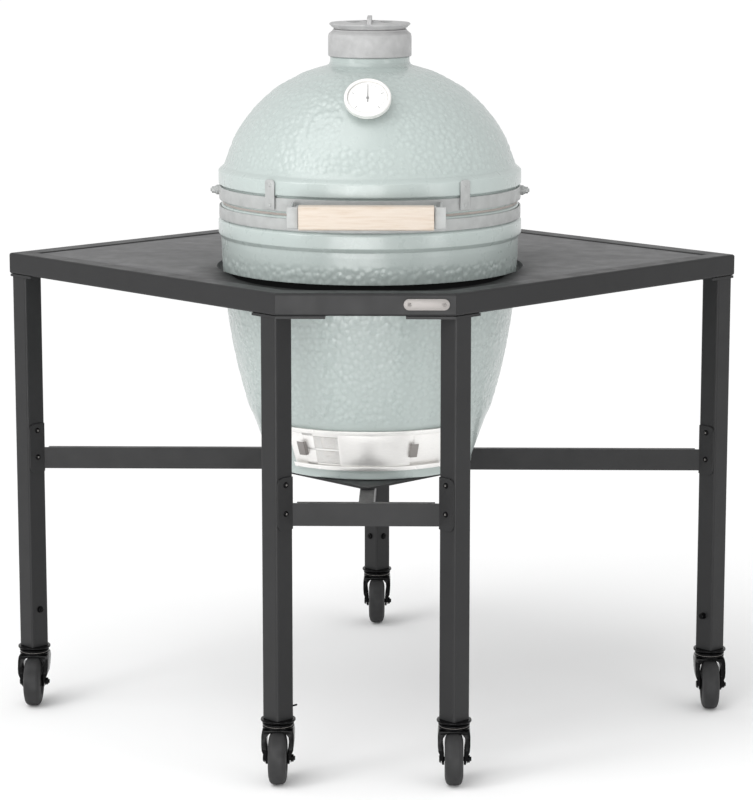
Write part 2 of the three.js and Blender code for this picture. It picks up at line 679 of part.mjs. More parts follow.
// Cast cap over the neck; its cover swings aside about a pin at the back, and the
// slotted wheel with the finger rib turns on the cover to set the draft.
function buildVent() {
  const cap = turned([
    [52, 1255], [57.4, 1255], [57.4, 1268 + GAP], [76.7, 1268 + GAP], [76.7, 1309], [73, 1314],
    [68, 1318], [52, 1318]]);
  const pinY = 60;
  const boss = post(3, 1304, 1324.5, 0, pinY);
  add("vent_cap", join(cap, boss), "cap", grill);
  const slots = (r0, r1) => [60, 180, 300].map(
    (turn) => wedge(turn - 22, turn + 22, r0, r1, 1300, 1346));
  const top = 1325;
  const lid = turned([[0, 1318 + GAP], [66, 1318 + GAP], [66, top], [0, top]]);
  add("vent_cover", cut(lid, ...slots(20, 44), post(5 + GAP, 1310, 1340),
    post(3 + GAP, 1310, 1340, 0, pinY)), "cap", grill);
  const low = top + 2 * GAP;
  const disc = turned([[0, low], [74.5, low], [74.5, low + 3], [72, low + 5], [0, low + 5.5]]);
  const rib = box(-4, -73, low + 2, 4, 16, 1342);
  const wheel = join(cut(disc, ...slots(20, 44)), post(5, 1319, low + 1), rib);
  add("vent_wheel", wheel, "cap", grill);
}

// ---- everything -------------------------------------------------------------

buildTop();
for (const leg of LEGS) {
  buildLeg(leg);
  buildCaster(leg);
}
buildStretchers();
buildBadge();

add("grill_base", grillBase(), "glaze", grill);
const felt = ([z0, z1]) => turned([[250, z0], [272, z0], [272, z1], [250, z1]]);
add("base_gasket", felt([SPLIT_Z - 2 + GAP, SPLIT_Z - 0.15]), "felt", grill);
buildInside();
buildDraftDoor();
buildLowerBand();
add("grill_dome", dome(), "glaze", grill);
add("lid_gasket", felt([SPLIT_Z + 0.15, SPLIT_Z + 2]), "felt", grill);
buildUpperBand();
buildHandle();
buildGauge();
buildVent();

// stand the object on the middle of its footprint
const bounds = new THREE.Box3().setFromObject(object);
const middle = bounds.getCenter(new THREE.Vector3());
object.position.set(-middle.x, -middle.y, -bounds.min.z);

export default object;
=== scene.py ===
"""Looks of a ceramic kamado grill in a corner work table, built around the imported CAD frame.

Metres, +Z up; the cook stands at -Y. Axes, pivots and the rims' heights come from the frame.
Outlines are drawn in millimetres, mostly about the grill's axis.
"""

import itertools
import json
import math

import bmesh
import bpy
import numpy as np
from mathutils import Matrix, Vector


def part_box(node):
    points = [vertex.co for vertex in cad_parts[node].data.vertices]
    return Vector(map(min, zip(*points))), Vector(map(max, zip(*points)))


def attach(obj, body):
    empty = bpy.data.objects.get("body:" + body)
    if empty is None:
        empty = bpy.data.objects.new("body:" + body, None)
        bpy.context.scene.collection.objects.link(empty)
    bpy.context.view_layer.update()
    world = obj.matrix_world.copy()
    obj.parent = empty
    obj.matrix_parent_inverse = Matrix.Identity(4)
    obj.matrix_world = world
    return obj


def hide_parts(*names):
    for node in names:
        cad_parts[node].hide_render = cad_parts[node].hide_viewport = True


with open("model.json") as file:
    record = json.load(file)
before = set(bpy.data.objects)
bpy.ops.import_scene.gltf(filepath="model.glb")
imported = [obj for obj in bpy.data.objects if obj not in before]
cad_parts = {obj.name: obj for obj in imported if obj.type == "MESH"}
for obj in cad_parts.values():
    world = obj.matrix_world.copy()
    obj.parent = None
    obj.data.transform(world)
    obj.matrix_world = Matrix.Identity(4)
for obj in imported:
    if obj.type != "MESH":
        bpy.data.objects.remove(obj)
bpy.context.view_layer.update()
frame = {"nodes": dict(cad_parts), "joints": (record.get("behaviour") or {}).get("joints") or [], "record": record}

MM = 0.001
NODES = frame["nodes"]
FILLET_SHARE = 0.45
LEGS = ["left", "right", "back", "front_left", "front_right"]


# ---- places from the frame ----

def joint(name):
    return next(j for j in frame["joints"] if j["name"] == name)


def pivot(name):
    return Vector(joint(name)["pos_m"])


AXIS = Vector((0, sum(v.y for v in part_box("grill_base")) / 2, 0))      # the grill's upright axis
BASE_LOW, BASE_RIM = [v.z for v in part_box("grill_base")]
LID_RIM, NECK_TOP = [v.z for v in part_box("grill_dome")]
SPLIT = (BASE_RIM + LID_RIM) / 2
HINGE = pivot("lid_hinge")
GAUGE = pivot("needle_turn")
GAUGE_OUT = Vector(joint("needle_turn")["axis"])


# ---- mesh helpers ----

def added(name, data):
    """A new object in the scene."""
    obj = bpy.data.objects.new(name, data)
    bpy.context.scene.collection.objects.link(obj)
    return obj


def smooth(mesh, angle=35):
    """Smooth faces with creases where they meet at more than the angle."""
    mesh.polygons.foreach_set("use_smooth", [True] * len(mesh.polygons))
    mesh.set_sharp_from_angle(angle=math.radians(angle))


def mesh_from(verts, faces, angle=35):
    mesh = bpy.data.meshes.new("mesh")
    mesh.from_pydata([tuple(v) for v in verts], [], [tuple(f) for f in faces])
    mesh.validate()
    bm = bmesh.new()
    bm.from_mesh(mesh)
    return finished(bm, mesh, angle)


def finished(bm, mesh, angle):
    """Turns the faces outwards and puts the edited mesh back, smooth up to the angle."""
    bmesh.ops.recalc_face_normals(bm, faces=bm.faces)
    bm.to_mesh(mesh)
    bm.free()
    smooth(mesh, angle)
    return mesh


def fillet(points, radius, steps=4, closed=True):
    """Rounds the corners of an outline. A point may carry its own radius as a third number.
    A corner takes at most FILLET_SHARE of its edges, and a nearly straight one stays."""
    out = []
    n = len(points)
    for i, point in enumerate(points):
        here = Vector(point[:2])
        r = point[2] if len(point) > 2 else radius
        back = Vector(points[i - 1][:2]) - here
        ahead = Vector(points[(i + 1) % n][:2]) - here
        bend = back.angle(ahead, math.pi)
        if r <= 0 or bend > math.radians(177) or (not closed and i in (0, n - 1)):
            out.append(tuple(here))
            continue
        reach = min(r / math.tan(bend / 2), FILLET_SHARE * back.length, FILLET_SHARE * ahead.length)
        start, end = here + back.normalized() * reach, here + ahead.normalized() * reach
        for k in range(steps + 1):
            t = k / steps
            out.append(tuple((1 - t) ** 2 * start + 2 * t * (1 - t) * here + t * t * end))
    return out


def lathe_mesh(profile, sides=128, angle=35, closed=True):
    """Body of revolution about Z from (radius, z) points; a radius of 0 closes on the axis."""
    verts, faces, rings = [], [], []
    for r, z in profile:
        if r < 1e-6:
            rings.append([len(verts)] * sides)
            verts.append((0, 0, z))
            continue
        start = len(verts)
        for k in range(sides):
            a = 2 * math.pi * k / sides
            verts.append((r * math.cos(a), r * math.sin(a), z))
        rings.append(list(range(start, start + sides)))
    n = len(rings)
    for i in range(n if closed else n - 1):
        a, b = rings[i], rings[(i + 1) % n]
        if a[0] == a[1] and b[0] == b[1]:
            continue
        for k in range(sides):
            m = (k + 1) % sides
            face = [a[k], a[m], b[m], b[k]]
            face = [v for j, v in enumerate(face) if v != face[j - 1]]
            faces.append(face)
    return mesh_from(verts, faces, angle=angle)


def turned(profile, edge, sides, steps=4):
    """Solid of revolution whose profile starts and ends on the axis, its corners rounded."""
    return lathe_mesh(fillet(profile, edge, steps, closed=False), sides, closed=False)


def skinned(rings, angle=35):
    """A solid through rings of equally many points, with a flat face at each end."""
    n, last = len(rings[0]), len(rings) - 1
    faces = [tuple(range(n)), tuple(range((last + 1) * n - 1, last * n - 1, -1))]
    faces += [(row + k, row + (k + 1) % n, row + n + (k + 1) % n, row + n + k)
              for row in range(0, last * n, n) for k in range(n)]
    return mesh_from([v for ring in rings for v in ring], faces, angle)


def prism_mesh(outline, low, high):
    """A flat (x, y) outline pulled up from low to high."""
    return skinned([[(x, y, z) for x, y in outline] for z in (low, high)])


def box_mesh(low, high):
    (x0, y0, z0), (x1, y1, z1) = low, high
    return prism_mesh([(x0, y0), (x1, y0), (x1, y1), (x0, y1)], z0, z1)


def circle(radius, sides=64, centre=(0, 0)):
    return [(centre[0] + radius * math.cos(2 * math.pi * k / sides),
             centre[1] + radius * math.sin(2 * math.pi * k / sides)) for k in range(sides)]


def bevelled(mesh, width, segments=2, angle=30):
    """The mesh with its sharp edges rounded."""
    obj = added("scratch", mesh)
    mod = obj.modifiers.new("bevel", "BEVEL")
    mod.width, mod.segments, mod.limit_method = width, segments, "ANGLE"
    mod.angle_limit = math.radians(angle)
    out = baked(obj)
    smooth(out, 40)
    return out


def baked(obj):
    """The object's mesh with its modifiers applied; the object itself is removed."""
    graph = bpy.context.evaluated_depsgraph_get()
    mesh = bpy.data.meshes.new_from_object(obj.evaluated_get(graph))
    bpy.data.objects.remove(obj)
    return mesh


def combined(mesh, others, operation):
    """Boolean of a mesh with other meshes."""
    obj = added("scratch", mesh)
    tools = []
    for other in others:
        tool = added("tool", other)
        tools.append(tool)
        mod = obj.modifiers.new("cut", "BOOLEAN")
        mod.object, mod.operation, mod.solver = tool, operation, "EXACT"
    out = baked(obj)
    for tool in tools:
        bpy.data.objects.remove(tool)
    return out


def moved(mesh, matrix):
    mesh.transform(matrix)
    return mesh


def at(*xyz):
    return Matrix.Translation(Vector(xyz))


def turn(degrees, axis):
    return Matrix.Rotation(math.radians(degrees), 4, axis)


def joined(meshes, angle=35):
    """One mesh that holds several."""
    bm = bmesh.new()
    for mesh in meshes:
        bm.from_mesh(mesh)
    out = bpy.data.meshes.new("joined")
    bm.to_mesh(out)
    bm.free()
    smooth(out, angle)
    return out


# ---- materials ----

finishes = {}


class Finish:
    """A node material around one Principled shader, kept in finishes under its slot's name."""

    def __init__(self, name, color, roughness, metallic=0.0, coat=0.0, coat_roughness=0.1):
        finishes[name] = self.material = bpy.data.materials.new(name)
        self.material.use_nodes = True
        self.tree = self.material.node_tree
        self.shader = self.tree.nodes["Principled BSDF"]
        self.put("Base Color", (*color, 1))
        self.put("Roughness", roughness)
        self.put("Metallic", metallic)
        self.put("Coat Weight", coat)
        self.put("Coat Roughness", coat_roughness)
        self.coords = self.node("ShaderNodeTexCoord").outputs["Object"]

    def put(self, socket, value):
        self.shader.inputs[socket].default_value = value

    def node(self, kind, **values):
        node = self.tree.nodes.new(kind)
        for key, value in values.items():
            setattr(node, key, value)
        return node

    def join(self, a, b):
        self.tree.links.new(a, b)

    def noise(self, scale, detail=2.0, stretch=(1, 1, 1), roughness=0.5):
        mapping = self.node("ShaderNodeMapping")
        mapping.inputs["Scale"].default_value = stretch
        self.join(self.coords, mapping.inputs["Vector"])
        noise = self.node("ShaderNodeTexNoise")
        noise.inputs["Scale"].default_value = scale
        noise.inputs["Detail"].default_value = detail
        noise.inputs["Roughness"].default_value = roughness
        self.join(mapping.outputs["Vector"], noise.inputs["Vector"])
        return noise.outputs["Fac"]

    def ramp(self, fac, stops):
        ramp = self.node("ShaderNodeValToRGB")
        elements = ramp.color_ramp.elements
        while len(elements) < len(stops):
            elements.new(0.5)
        for element, (place, color) in zip(elements, stops):
            element.position = place
            element.color = (*color, 1) if len(color) == 3 else color
        self.join(fac, ramp.inputs["Fac"])
        return ramp.outputs["Color"]

    def spread(self, fac, low, high, start=0.3, end=0.7):
        """Maps a noise's middle range to values between low and high."""
        span = self.node("ShaderNodeMapRange")
        for socket, value in (("From Min", start), ("From Max", end),
                              ("To Min", low), ("To Max", high)):
            span.inputs[socket].default_value = value
        self.join(fac, span.inputs["Value"])
        return span.outputs["Result"]

    def color(self, output):
        self.join(output, self.shader.inputs["Base Color"])

    def rough(self, output):
        self.join(output, self.shader.inputs["Roughness"])

    def bump(self, height, distance, strength=1.0):
        bump = self.node("ShaderNodeBump")
        bump.inputs["Strength"].default_value = strength
        bump.inputs["Distance"].default_value = distance
        self.join(height, bump.inputs["Height"])
        previous = getattr(self, "last_bump", None)
        if previous:
            self.join(previous.outputs["Normal"], bump.inputs["Normal"])
        self.last_bump = bump
        self.join(bump.outputs["Normal"], self.shader.inputs["Normal"])


def tint(color, factor):
    return tuple(min(1.0, c * factor) for c in color)


def mottled(name, color, roughness, clouds, tints, gloss, grain, depth, strength=0.5, **sockets):
    """Plain finish: clouds of two tints, gloss = (scale, low, high) uneven, and a fine grain."""
    f = Finish(name, color, roughness)
    for socket, value in sockets.items():
        f.put(socket.replace("_", " "), value)
    if clouds:
        f.color(f.ramp(f.noise(*clouds), [(0.3, tint(color, tints[0])), (0.7, tint(color, tints[1]))]))
    if gloss:
        f.rough(f.spread(f.noise(gloss[0], 3), *gloss[1:]))
    f.bump(f.noise(*grain), depth, strength)


def brushed_steel(name, color, roughness, stretch, metallic):
    f = Finish(name, color, roughness, metallic)
    lines = f.noise(90, 4, stretch, 0.7)
    f.color(f.ramp(lines, [(0.25, tint(color, 0.88)), (0.75, tint(color, 1.08))]))
    f.rough(f.spread(lines, roughness - 0.08, roughness + 0.1))
    f.bump(lines, 0.00006, 0.4)


def glaze(name, color):
    """Pale glaze with painted shade darkening the creases and painted light on the pebbles' tops, both from the
    surface's curvature.
    """
    f = Finish(name, color, 0.36, coat=0.35, coat_roughness=0.16)
    # painted shade and light: the colour darkens in the creases and lightens on the pebbles' tops by their
    # pointiness
    edges = f.node("ShaderNodeNewGeometry").outputs["Pointiness"]
    f.color(f.ramp(edges, [(0.44, tint(color, 0.88)), (0.5, color), (0.56, tint(color, 1.25))]))
    f.rough(f.spread(f.noise(45, 2), 0.24, 0.38))
    f.bump(f.noise(260, 2), 0.0003, 0.25)


SHADE_AHEAD = Vector((0, -0.11, 0))     # the panel's shade lies ahead of the grill's axis
SHADE_RANGE = (0.25, 0.335)


def panel_coat(name, color, roughness):
    """Coated sheet, darker in front of the cut-out where the grill shades it."""
    f = Finish(name, color, roughness)
    f.put("Specular IOR Level", 0.3)
    vector = f.coords
    for operation, value in (("SUBTRACT", AXIS + SHADE_AHEAD), ("MULTIPLY", (1, 1, 0)), ("LENGTH", None)):
        step = f.node("ShaderNodeVectorMath", operation=operation)
        if value is not None:
            step.inputs[1].default_value = value
        f.join(vector, step.inputs[0])
        vector = step.outputs[0]
    reach = step.outputs["Value"]
    near = f.spread(reach, 0, 1, *SHADE_RANGE)
    f.color(f.ramp(near, [(0.05, tint(color, 0.06)), (0.2, tint(color, 0.2)),
                          (0.5, tint(color, 0.72)), (1.0, color)]))
    f.join(f.spread(reach, 0, 0.3, *SHADE_RANGE), f.shader.inputs["Specular IOR Level"])
    f.rough(f.spread(f.noise(30, 3), roughness - 0.05, roughness + 0.08))
    f.bump(f.noise(1500, 1), 0.0001, 0.4)


def coated_iron(name, color, roughness, grain=420):
    mottled(name, color, roughness, (60, 5), (0.88, 1.06), (80, roughness - 0.08, roughness + 0.1),
            (grain, 3), 0.0003)


def pale_wood(name):
    """Bleached wood with long grain along X and a few darker growth lines."""
    f = Finish(name, (0.52, 0.45, 0.38), 0.6)
    grain = f.noise(26, 8, (0.6, 9, 9), 0.65)
    f.color(f.ramp(grain, [(0.3, (0.46, 0.37, 0.29)), (0.48, (0.52, 0.45, 0.38)),
                           (0.7, (0.55, 0.49, 0.43))]))
    f.rough(f.spread(grain, 0.42, 0.6))
    f.bump(f.noise(60, 6, (0.5, 12, 12), 0.7), 0.0004, 0.5)


GRAPHITE = (0.0185, 0.0185, 0.019)
PANEL_GREY = (0.095, 0.095, 0.0965)
MINT = (0.385, 0.437, 0.422)
MIST = (0.37, 0.38, 0.375)

mottled("frame_paint", GRAPHITE, 0.42, (9, 4), (0.93, 1.07), (30, 0.37, 0.48), (1500, 1), 0.0001,
        Specular_IOR_Level=0.25)
panel_coat("panel_steel", PANEL_GREY, 0.5)
brushed_steel("badge_steel", (0.27, 0.255, 0.245), 0.45, (1, 1, 60), 0.6)
mottled("caster_metal", (0.002, 0.002, 0.0022), 0.2, None, None, (120, 0.12, 0.28), (500, 2), 0.0001,
        0.3, Specular_IOR_Level=0.1)
mottled("caster_tread", (0.015, 0.015, 0.0155), 0.72, (120, 5), (0.8, 1.25), (60, 0.6, 0.85),
        (900, 3), 0.0002)
glaze("glaze", MINT)
mottled("felt", (0.42, 0.37, 0.34), 0.95, (800, 3), (0.8, 1.15), None, (1400, 3), 0.0006, 0.8,
        Sheen_Weight=0.4)
mottled("firebrick", (0.48, 0.38, 0.28), 0.9, (120, 6), (0.8, 1.1), None, (500, 5), 0.0008, 0.6)
coated_iron("grate_iron", (0.24, 0.24, 0.24), 0.6)
brushed_steel("stainless", (0.88, 0.87, 0.85), 0.42, (1, 1, 40), 0.7)
coated_iron("band_steel", MIST, 0.4, 900)
pale_wood("handle_wood")
mottled("dial_white", (0.75, 0.75, 0.74), 0.3, (50, 2), (0.97, 1), None, (400, 1), 0.00005, 0.2)
coated_iron("vent_iron", (0.38, 0.38, 0.38), 0.45)

slot_of = {s["node"]: s["material_slot"] for s in frame["record"]["subparts"]}


def piece(name, mesh, body, slot, replaces=()):
    """A new piece that rides on a CAD body, stands for some nodes and has its slot's finish."""
    obj = added(name, mesh)
    mesh.materials.clear()
    mesh.materials.append(finishes[slot])
    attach(obj, body)
    if replaces:
        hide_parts(*replaces)


def dress_cad():
    """Every CAD node takes its slot's finish, smooth shading and softened edges."""
    for name, obj in NODES.items():
        obj.data.materials.clear()
        obj.data.materials.append(finishes[slot_of[name]])
        smooth(obj.data, 30)
        bevel = obj.modifiers.new("soft_edges", "BEVEL")
        bevel.width, bevel.segments, bevel.limit_method = 0.6 * MM, 2, "ANGLE"
        bevel.angle_limit = math.radians(40)


# ---- ceramic shells ----

SHELL_SIDES = 900
SHEET_STEP = 0.6                        # degrees between the columns of a bent sheet


def curve_through(points, spacing):
    """Points of a smooth curve (Catmull-Rom) through (r, z) points, about evenly spaced."""
    pts = [Vector(p) for p in points]
    pts = [2 * pts[0] - pts[1], *pts, 2 * pts[-1] - pts[-2]]
    out = []
    for i in range(1, len(pts) - 2):
        a, b, c, d = pts[i - 1:i + 3]
        steps = max(1, round((c - b).length / spacing))
        for k in range(steps):
            t = k / steps
            p = 0.5 * (2 * b + (c - a) * t + (2 * a - 5 * b + 4 * c - d) * t * t
                       + (3 * b - a - 3 * c + d) * t ** 3)
            out.append(tuple(p))
    out.append(tuple(pts[-2]))
    return out


def worley(points, cell, seed):
    """Distance to the nearest of randomly placed points, one in each cube cell."""
    rng = np.random.default_rng(seed)
    table = rng.random((64, 64, 64, 3))
    scaled = points / cell
    base = np.floor(scaled).astype(int)
    best = np.full(len(points), 9.0)
    for offset in itertools.product((-1, 0, 1), repeat=3):
        index = base + offset
        jitter = table[tuple((index % 64).T)]
        best = np.minimum(best, np.linalg.norm(scaled - index - jitter, axis=1))
    return best


def ramp01(x, low, high):
    t = np.clip((x - low) / (high - low), 0, 1)
    return t * t * (3 - 2 * t)


def texture_band(z, fades):
    return ramp01(z, *fades[:2]) * (1 - ramp01(z, *fades[2:]))


def pebbles(points, normals, mask, height=1.2 * MM, cell=11 * MM):
    """Raised pebbles of the textured glaze with creases between them, where the mask is 1."""
    near = worley(points, cell, 3)
    bumps = np.clip(1 - (near / 0.66) ** 2, 0, 1)
    drift = worley(points, cell * 4.3, 5)
    lift = height * (bumps - 0.55) * (0.65 + 0.6 * np.clip(drift, 0, 1))
    return points + normals * (lift * mask)[:, None]


def shell_mesh(outer, inner, mask, window=None):
    """A thick shell of revolution about the grill's axis. The outer profile is textured where
    mask(angle from the front, z) is 1. window = (angle0, angle1, z0, z1) leaves a gap through it."""
    profile, out, sides = outer + inner, len(outer), SHELL_SIDES
    n = len(profile)
    slope = np.gradient(np.array(profile), axis=0)
    slope /= np.maximum(np.hypot(slope[:, 0], slope[:, 1]), 1e-9)[:, None]
    normal = np.stack([slope[:, 1], -slope[:, 0]], 1)
    if normal[out // 2, 0] < 0:
        normal = -normal
    a = 2 * np.pi * np.arange(sides) / sides            # from the front, towards +X

    def swept(rz):
        """Turns (radius, z) rows about the axis: one (x, y, z) for each row and side."""
        rz = np.array(rz)
        ring = np.stack([np.sin(a), -np.cos(a)], 1)
        up = np.broadcast_to(rz[:, 1][:, None, None], (len(rz), sides, 1))
        return np.concatenate([rz[:, 0][:, None, None] * ring[None], up], 2)

    verts = swept(profile)
    points = verts[:out].reshape(-1, 3)
    angles = (np.degrees(np.broadcast_to(a, (out, sides))).reshape(-1) + 180) % 360 - 180
    lifted = pebbles(points, swept(normal[:out]).reshape(-1, 3), mask(angles, points[:, 2]))
    verts[:out] = lifted.reshape(out, sides, 3)
    verts = verts.reshape(-1, 3)

    index = np.arange(n * sides).reshape(n, sides)
    low, high = index, np.roll(index, -1, axis=0)
    quads = np.stack([low, np.roll(low, -1, axis=1), np.roll(high, -1, axis=1), high], 2)
    if profile[0][0] < 1e-6 or profile[-1][0] < 1e-6:
        quads = quads[:-1]
    keep = np.ones(quads.shape[:2], bool)
    reveal = []
    if window:
        keep, reveal = open_window(profile, out, window, keep, index)
    faces = quads[keep].reshape(-1, 4).tolist() + reveal
    mesh = bpy.data.meshes.new("shell")
    mesh.from_pydata((verts + np.array(AXIS)).tolist(), [], faces)
    bm = bmesh.new()
    bm.from_mesh(mesh)
    bmesh.ops.remove_doubles(bm, verts=bm.verts, dist=1e-6)
    bmesh.ops.dissolve_degenerate(bm, dist=1e-7, edges=bm.edges)
    loose = [v for v in bm.verts if not v.link_faces]
    bmesh.ops.delete(bm, geom=loose, context="VERTS")
    return finished(bm, mesh, 50)


def open_window(profile, out, window, keep, index):
    """Leaves the window's faces out and lines its four sides. Rows of the outer and inner
    profile lie on the window's sill and head."""
    a0, a1, z0, z1 = window
    sides = index.shape[1]
    c0, c1 = round(a0 * sides / 360), round(a1 * sides / 360)
    z = [p[1] for p in profile]
    near = lambda rows, level: min(rows, key=lambda i: abs(z[i] - level))
    outside, inside = range(out), range(out, len(profile))
    o0, o1 = near(outside, z0), near(outside, z1)
    i0, i1 = near(inside, z0), near(inside, z1)
    rows = [slice(min(pair), max(pair)) for pair in ((o0, o1), (i0, i1))]
    for span in rows:
        keep[span, [c % sides for c in range(c0, c1)]] = False
    lining = [[index[o, c % sides], index[o, (c + 1) % sides], index[i, (c + 1) % sides],
               index[i, c % sides]] for o, i in ((o0, i0), (o1, i1)) for c in range(c0, c1)]
    for c in (c0 % sides, c1 % sides):
        outer_column, inner_column = [list(index[span.start:span.stop + 1, c]) for span in rows]
        if (o0 < o1) == (i0 < i1):
            inner_column.reverse()
        lining.append(outer_column + inner_column)
    return keep, [[int(v) for v in face] for face in lining]


def snapped(points, levels):
    """The same points with the nearest one moved onto each level of z."""
    points = list(points)
    for level in levels:
        i = min(range(len(points)), key=lambda k: abs(points[k][1] - level))
        points[i] = (points[i][0], level)
    return points


CONE_FOOT = 199 * MM                    # outer radius of the base 550 mm up
CONE_SLOPE = 0.36
FOOT_R = 190 * MM
DRAFT_SILL, DRAFT_HEAD = 540 * MM, 598 * MM
DRAFT_FROM, DRAFT_TO = -28, 8           # the window, in degrees from the front
BASE_TEXTURE = (0.618, 0.628, 0.900, 0.918)     # heights between which the pebbles fade in and out
DOME_TEXTURE = (1.070, 1.080, 1.238, 1.248)
EMBLEM_Z, EMBLEM_WIDE, EMBLEM_HIGH = 1.150, 0.050, 0.034    # smooth patch: middle, half sizes


def cone(z):
    return CONE_FOOT + CONE_SLOPE * (z - 550 * MM)


def mm(points):
    return [(r * MM, z * MM) for r, z in points]


def build_base():
    foot = fillet([(0, BASE_LOW), (FOOT_R, BASE_LOW, 4 * MM), (FOOT_R, 0.525, 3 * MM),
                   (cone(0.53), 0.53)], 0, 5, closed=False)
    wall = [(cone(0.5305), 0.5305), (cone(0.55), 0.55), (cone(0.6), 0.6)]
    wall += mm([(228, 626), (248, 703), (264, 794), (272.5, 885), (275, 930)])
    side = curve_through(wall, 1.9 * MM)
    ring = fillet(mm([(275, 934), (275, 939), (280, 946), (280, 969), (274.5, 974)])
                  + [(274.5 * MM, BASE_RIM - 2 * MM), (272 * MM, BASE_RIM)], 3 * MM, closed=False)
    outer = foot + side + ring
    inner = [(249 * MM, BASE_RIM), (246 * MM, BASE_RIM - 3 * MM)]
    inner += curve_through(mm([(246, 990), (246, 885), (236, 794), (219, 703), (199, 626),
                               (171, 550)]), 14 * MM) + mm([(162, 545), (0, 545)])
    levels = (DRAFT_SILL, DRAFT_HEAD)
    inner = snapped(inner, levels)
    outer = foot + snapped(side, levels) + ring

    def mask(angle, z):
        return texture_band(z, BASE_TEXTURE)

    mesh = shell_mesh(outer, inner, mask, (DRAFT_FROM, DRAFT_TO, *levels))
    piece("ceramic_base", mesh, "root", "glaze", ["grill_base"])


def build_dome():
    rim = fillet([(272 * MM, LID_RIM), (274.5 * MM, LID_RIM + 2 * MM)]
                 + mm([(274.5, 1034), (279.5, 1037), (279.5, 1061), (272.5, 1067)]), 3 * MM,
                 closed=False)
    side = curve_through(mm([(270, 1069), (264, 1083), (253, 1113), (237, 1142), (214, 1172),
                             (192, 1194), (174, 1209), (147, 1225), (119, 1239), (98, 1246),
                             (80, 1251)]), 1.9 * MM)
    neck = fillet(mm([(75, 1254), (73, 1259)]) + [(73 * MM, NECK_TOP - 1 * MM), (72 * MM, NECK_TOP)],
                  2 * MM, closed=False)
    inner = [(58 * MM, NECK_TOP)] + curve_through(
        mm([(58, 1262), (60, 1240), (100, 1212), (150, 1186), (200, 1140), (236, 1085),
            (246, 1040), (246, 1010)]), 12 * MM) + [(246 * MM, LID_RIM + 3 * MM), (249 * MM, LID_RIM)]

    def mask(angle, z):
        across = np.radians(angle) * 0.235 / EMBLEM_WIDE
        up = (z - EMBLEM_Z) / EMBLEM_HIGH
        patch = 1 - (1 - ramp01(np.sqrt(across ** 2 + up ** 2), 0.85, 1.1)) * (np.abs(angle) < 90)
        seat = np.hypot(np.radians(angle) * 0.2, z - 1.196)      # smooth under the thermometer
        return texture_band(z, DOME_TEXTURE) * patch * ramp01(seat, 0.040, 0.052)

    mesh = shell_mesh(rim + side + neck, inner, mask)
    piece("ceramic_dome", mesh, "lid", "glaze", ["grill_dome"])


# ---- drawings in millimetres ----

IN_MM = Matrix.Scale(MM, 4)                            # millimetres about the frame's origin
GRILL = at(*AXIS) @ IN_MM                              # millimetres about the grill's axis
TILT = math.acos(GAUGE_OUT.z)
GAUGE_FRAME = at(*GAUGE) @ Matrix.Rotation(TILT, 4, "X") @ IN_MM
ALONG_X = turn(90, "Y")
# lays a flat (x, y) drawing with height z on (y, z) with height x
YZ_FLAT = Matrix(((0, 0, 1, 0), (1, 0, 0, 0), (0, 1, 0, 0), (0, 0, 0, 1)))
SPLIT_MM = SPLIT / MM
HINGE_Y = (HINGE.y - AXIS.y) / MM
HINGE_Z = HINGE.z / MM


def block(low, high, edge=0.8, segments=2):
    """A box between two corners with rounded edges."""
    return bevelled(box_mesh(low, high), edge, segments)


def plate_mesh(outline, low, high, edge=0.6):
    return bevelled(prism_mesh(outline, low, high), edge)


def disc(radius, low, high, edge=0.8, sides=64):
    """A cylinder about Z with rounded rims."""
    return turned([(0, low), (radius, low), (radius, high), (0, high)], edge, sides, 3)


def rod(radius, x0, x1, y=0.0, z=0.0, edge=0.6, sides=48):
    """A cylinder along X."""
    return moved(disc(radius, x0, x1, edge, sides), at(0, y, z) @ ALONG_X)


def ring_mesh(inner, outer, low, high, edge=0.6, sides=180):
    outline = fillet([(inner, low), (outer, low), (outer, high), (inner, high)], edge, 3)
    return lathe_mesh(outline, sides)


def tube_mesh(path, radius, sides=12):
    """A round wire along a path of points, closed at both ends."""
    pts = [Vector(p) for p in path]
    rings, side = [], None
    for i, p in enumerate(pts):
        ahead = (pts[min(i + 1, len(pts) - 1)] - pts[max(i - 1, 0)]).normalized()
        if side is None:
            side = ahead.orthogonal().normalized()
        side = (side - ahead * side.dot(ahead)).normalized()
        other = ahead.cross(side)
        rings.append([p + x * side + y * other for x, y in circle(radius, sides)])
    return skinned(rings, 60)


def from_front(angle, radius):
    """(x, y) at an angle in degrees from the front."""
    a = math.radians(angle)
    return radius * math.sin(a), -radius * math.cos(a)


def on_cone(angle, z, lift):
    """The point at an angle from the front and a distance outside the base's cone."""
    return (*from_front(angle, cone(z * MM) / MM + lift), z)


def bent_sector(a0, a1, near, far, z0, z1):
    """A sheet on the base's cone, between two angles, distances from the cone and heights."""
    steps = max(1, math.ceil((a1 - a0) / SHEET_STEP))
    section = ((near, z0), (near, z1), (far, z1), (far, z0))
    return skinned([[on_cone(a0 + (a1 - a0) * k / steps, z, lift) for lift, z in section]
                    for k in range(steps + 1)])


def copies(mesh, places):
    """One copy of the mesh at each place; the first mesh is used up."""
    out = [moved(mesh.copy(), place) for place in places]
    bpy.data.meshes.remove(mesh)
    return out


def drawn(name, meshes, body, slot, replaces=(), place=None, angle=35):
    """A piece joined from meshes drawn in millimetres, by default about the grill's axis."""
    mesh = moved(joined(meshes, angle), GRILL if place is None else place)
    piece(name, mesh, body, slot, replaces)


# ---- bands, hinge and handle ----

BAND_IN, BAND_OUT = 275, 278.5
LOWER_BAND = (974.5, 996)
UPPER_BAND = (1008, 1032)


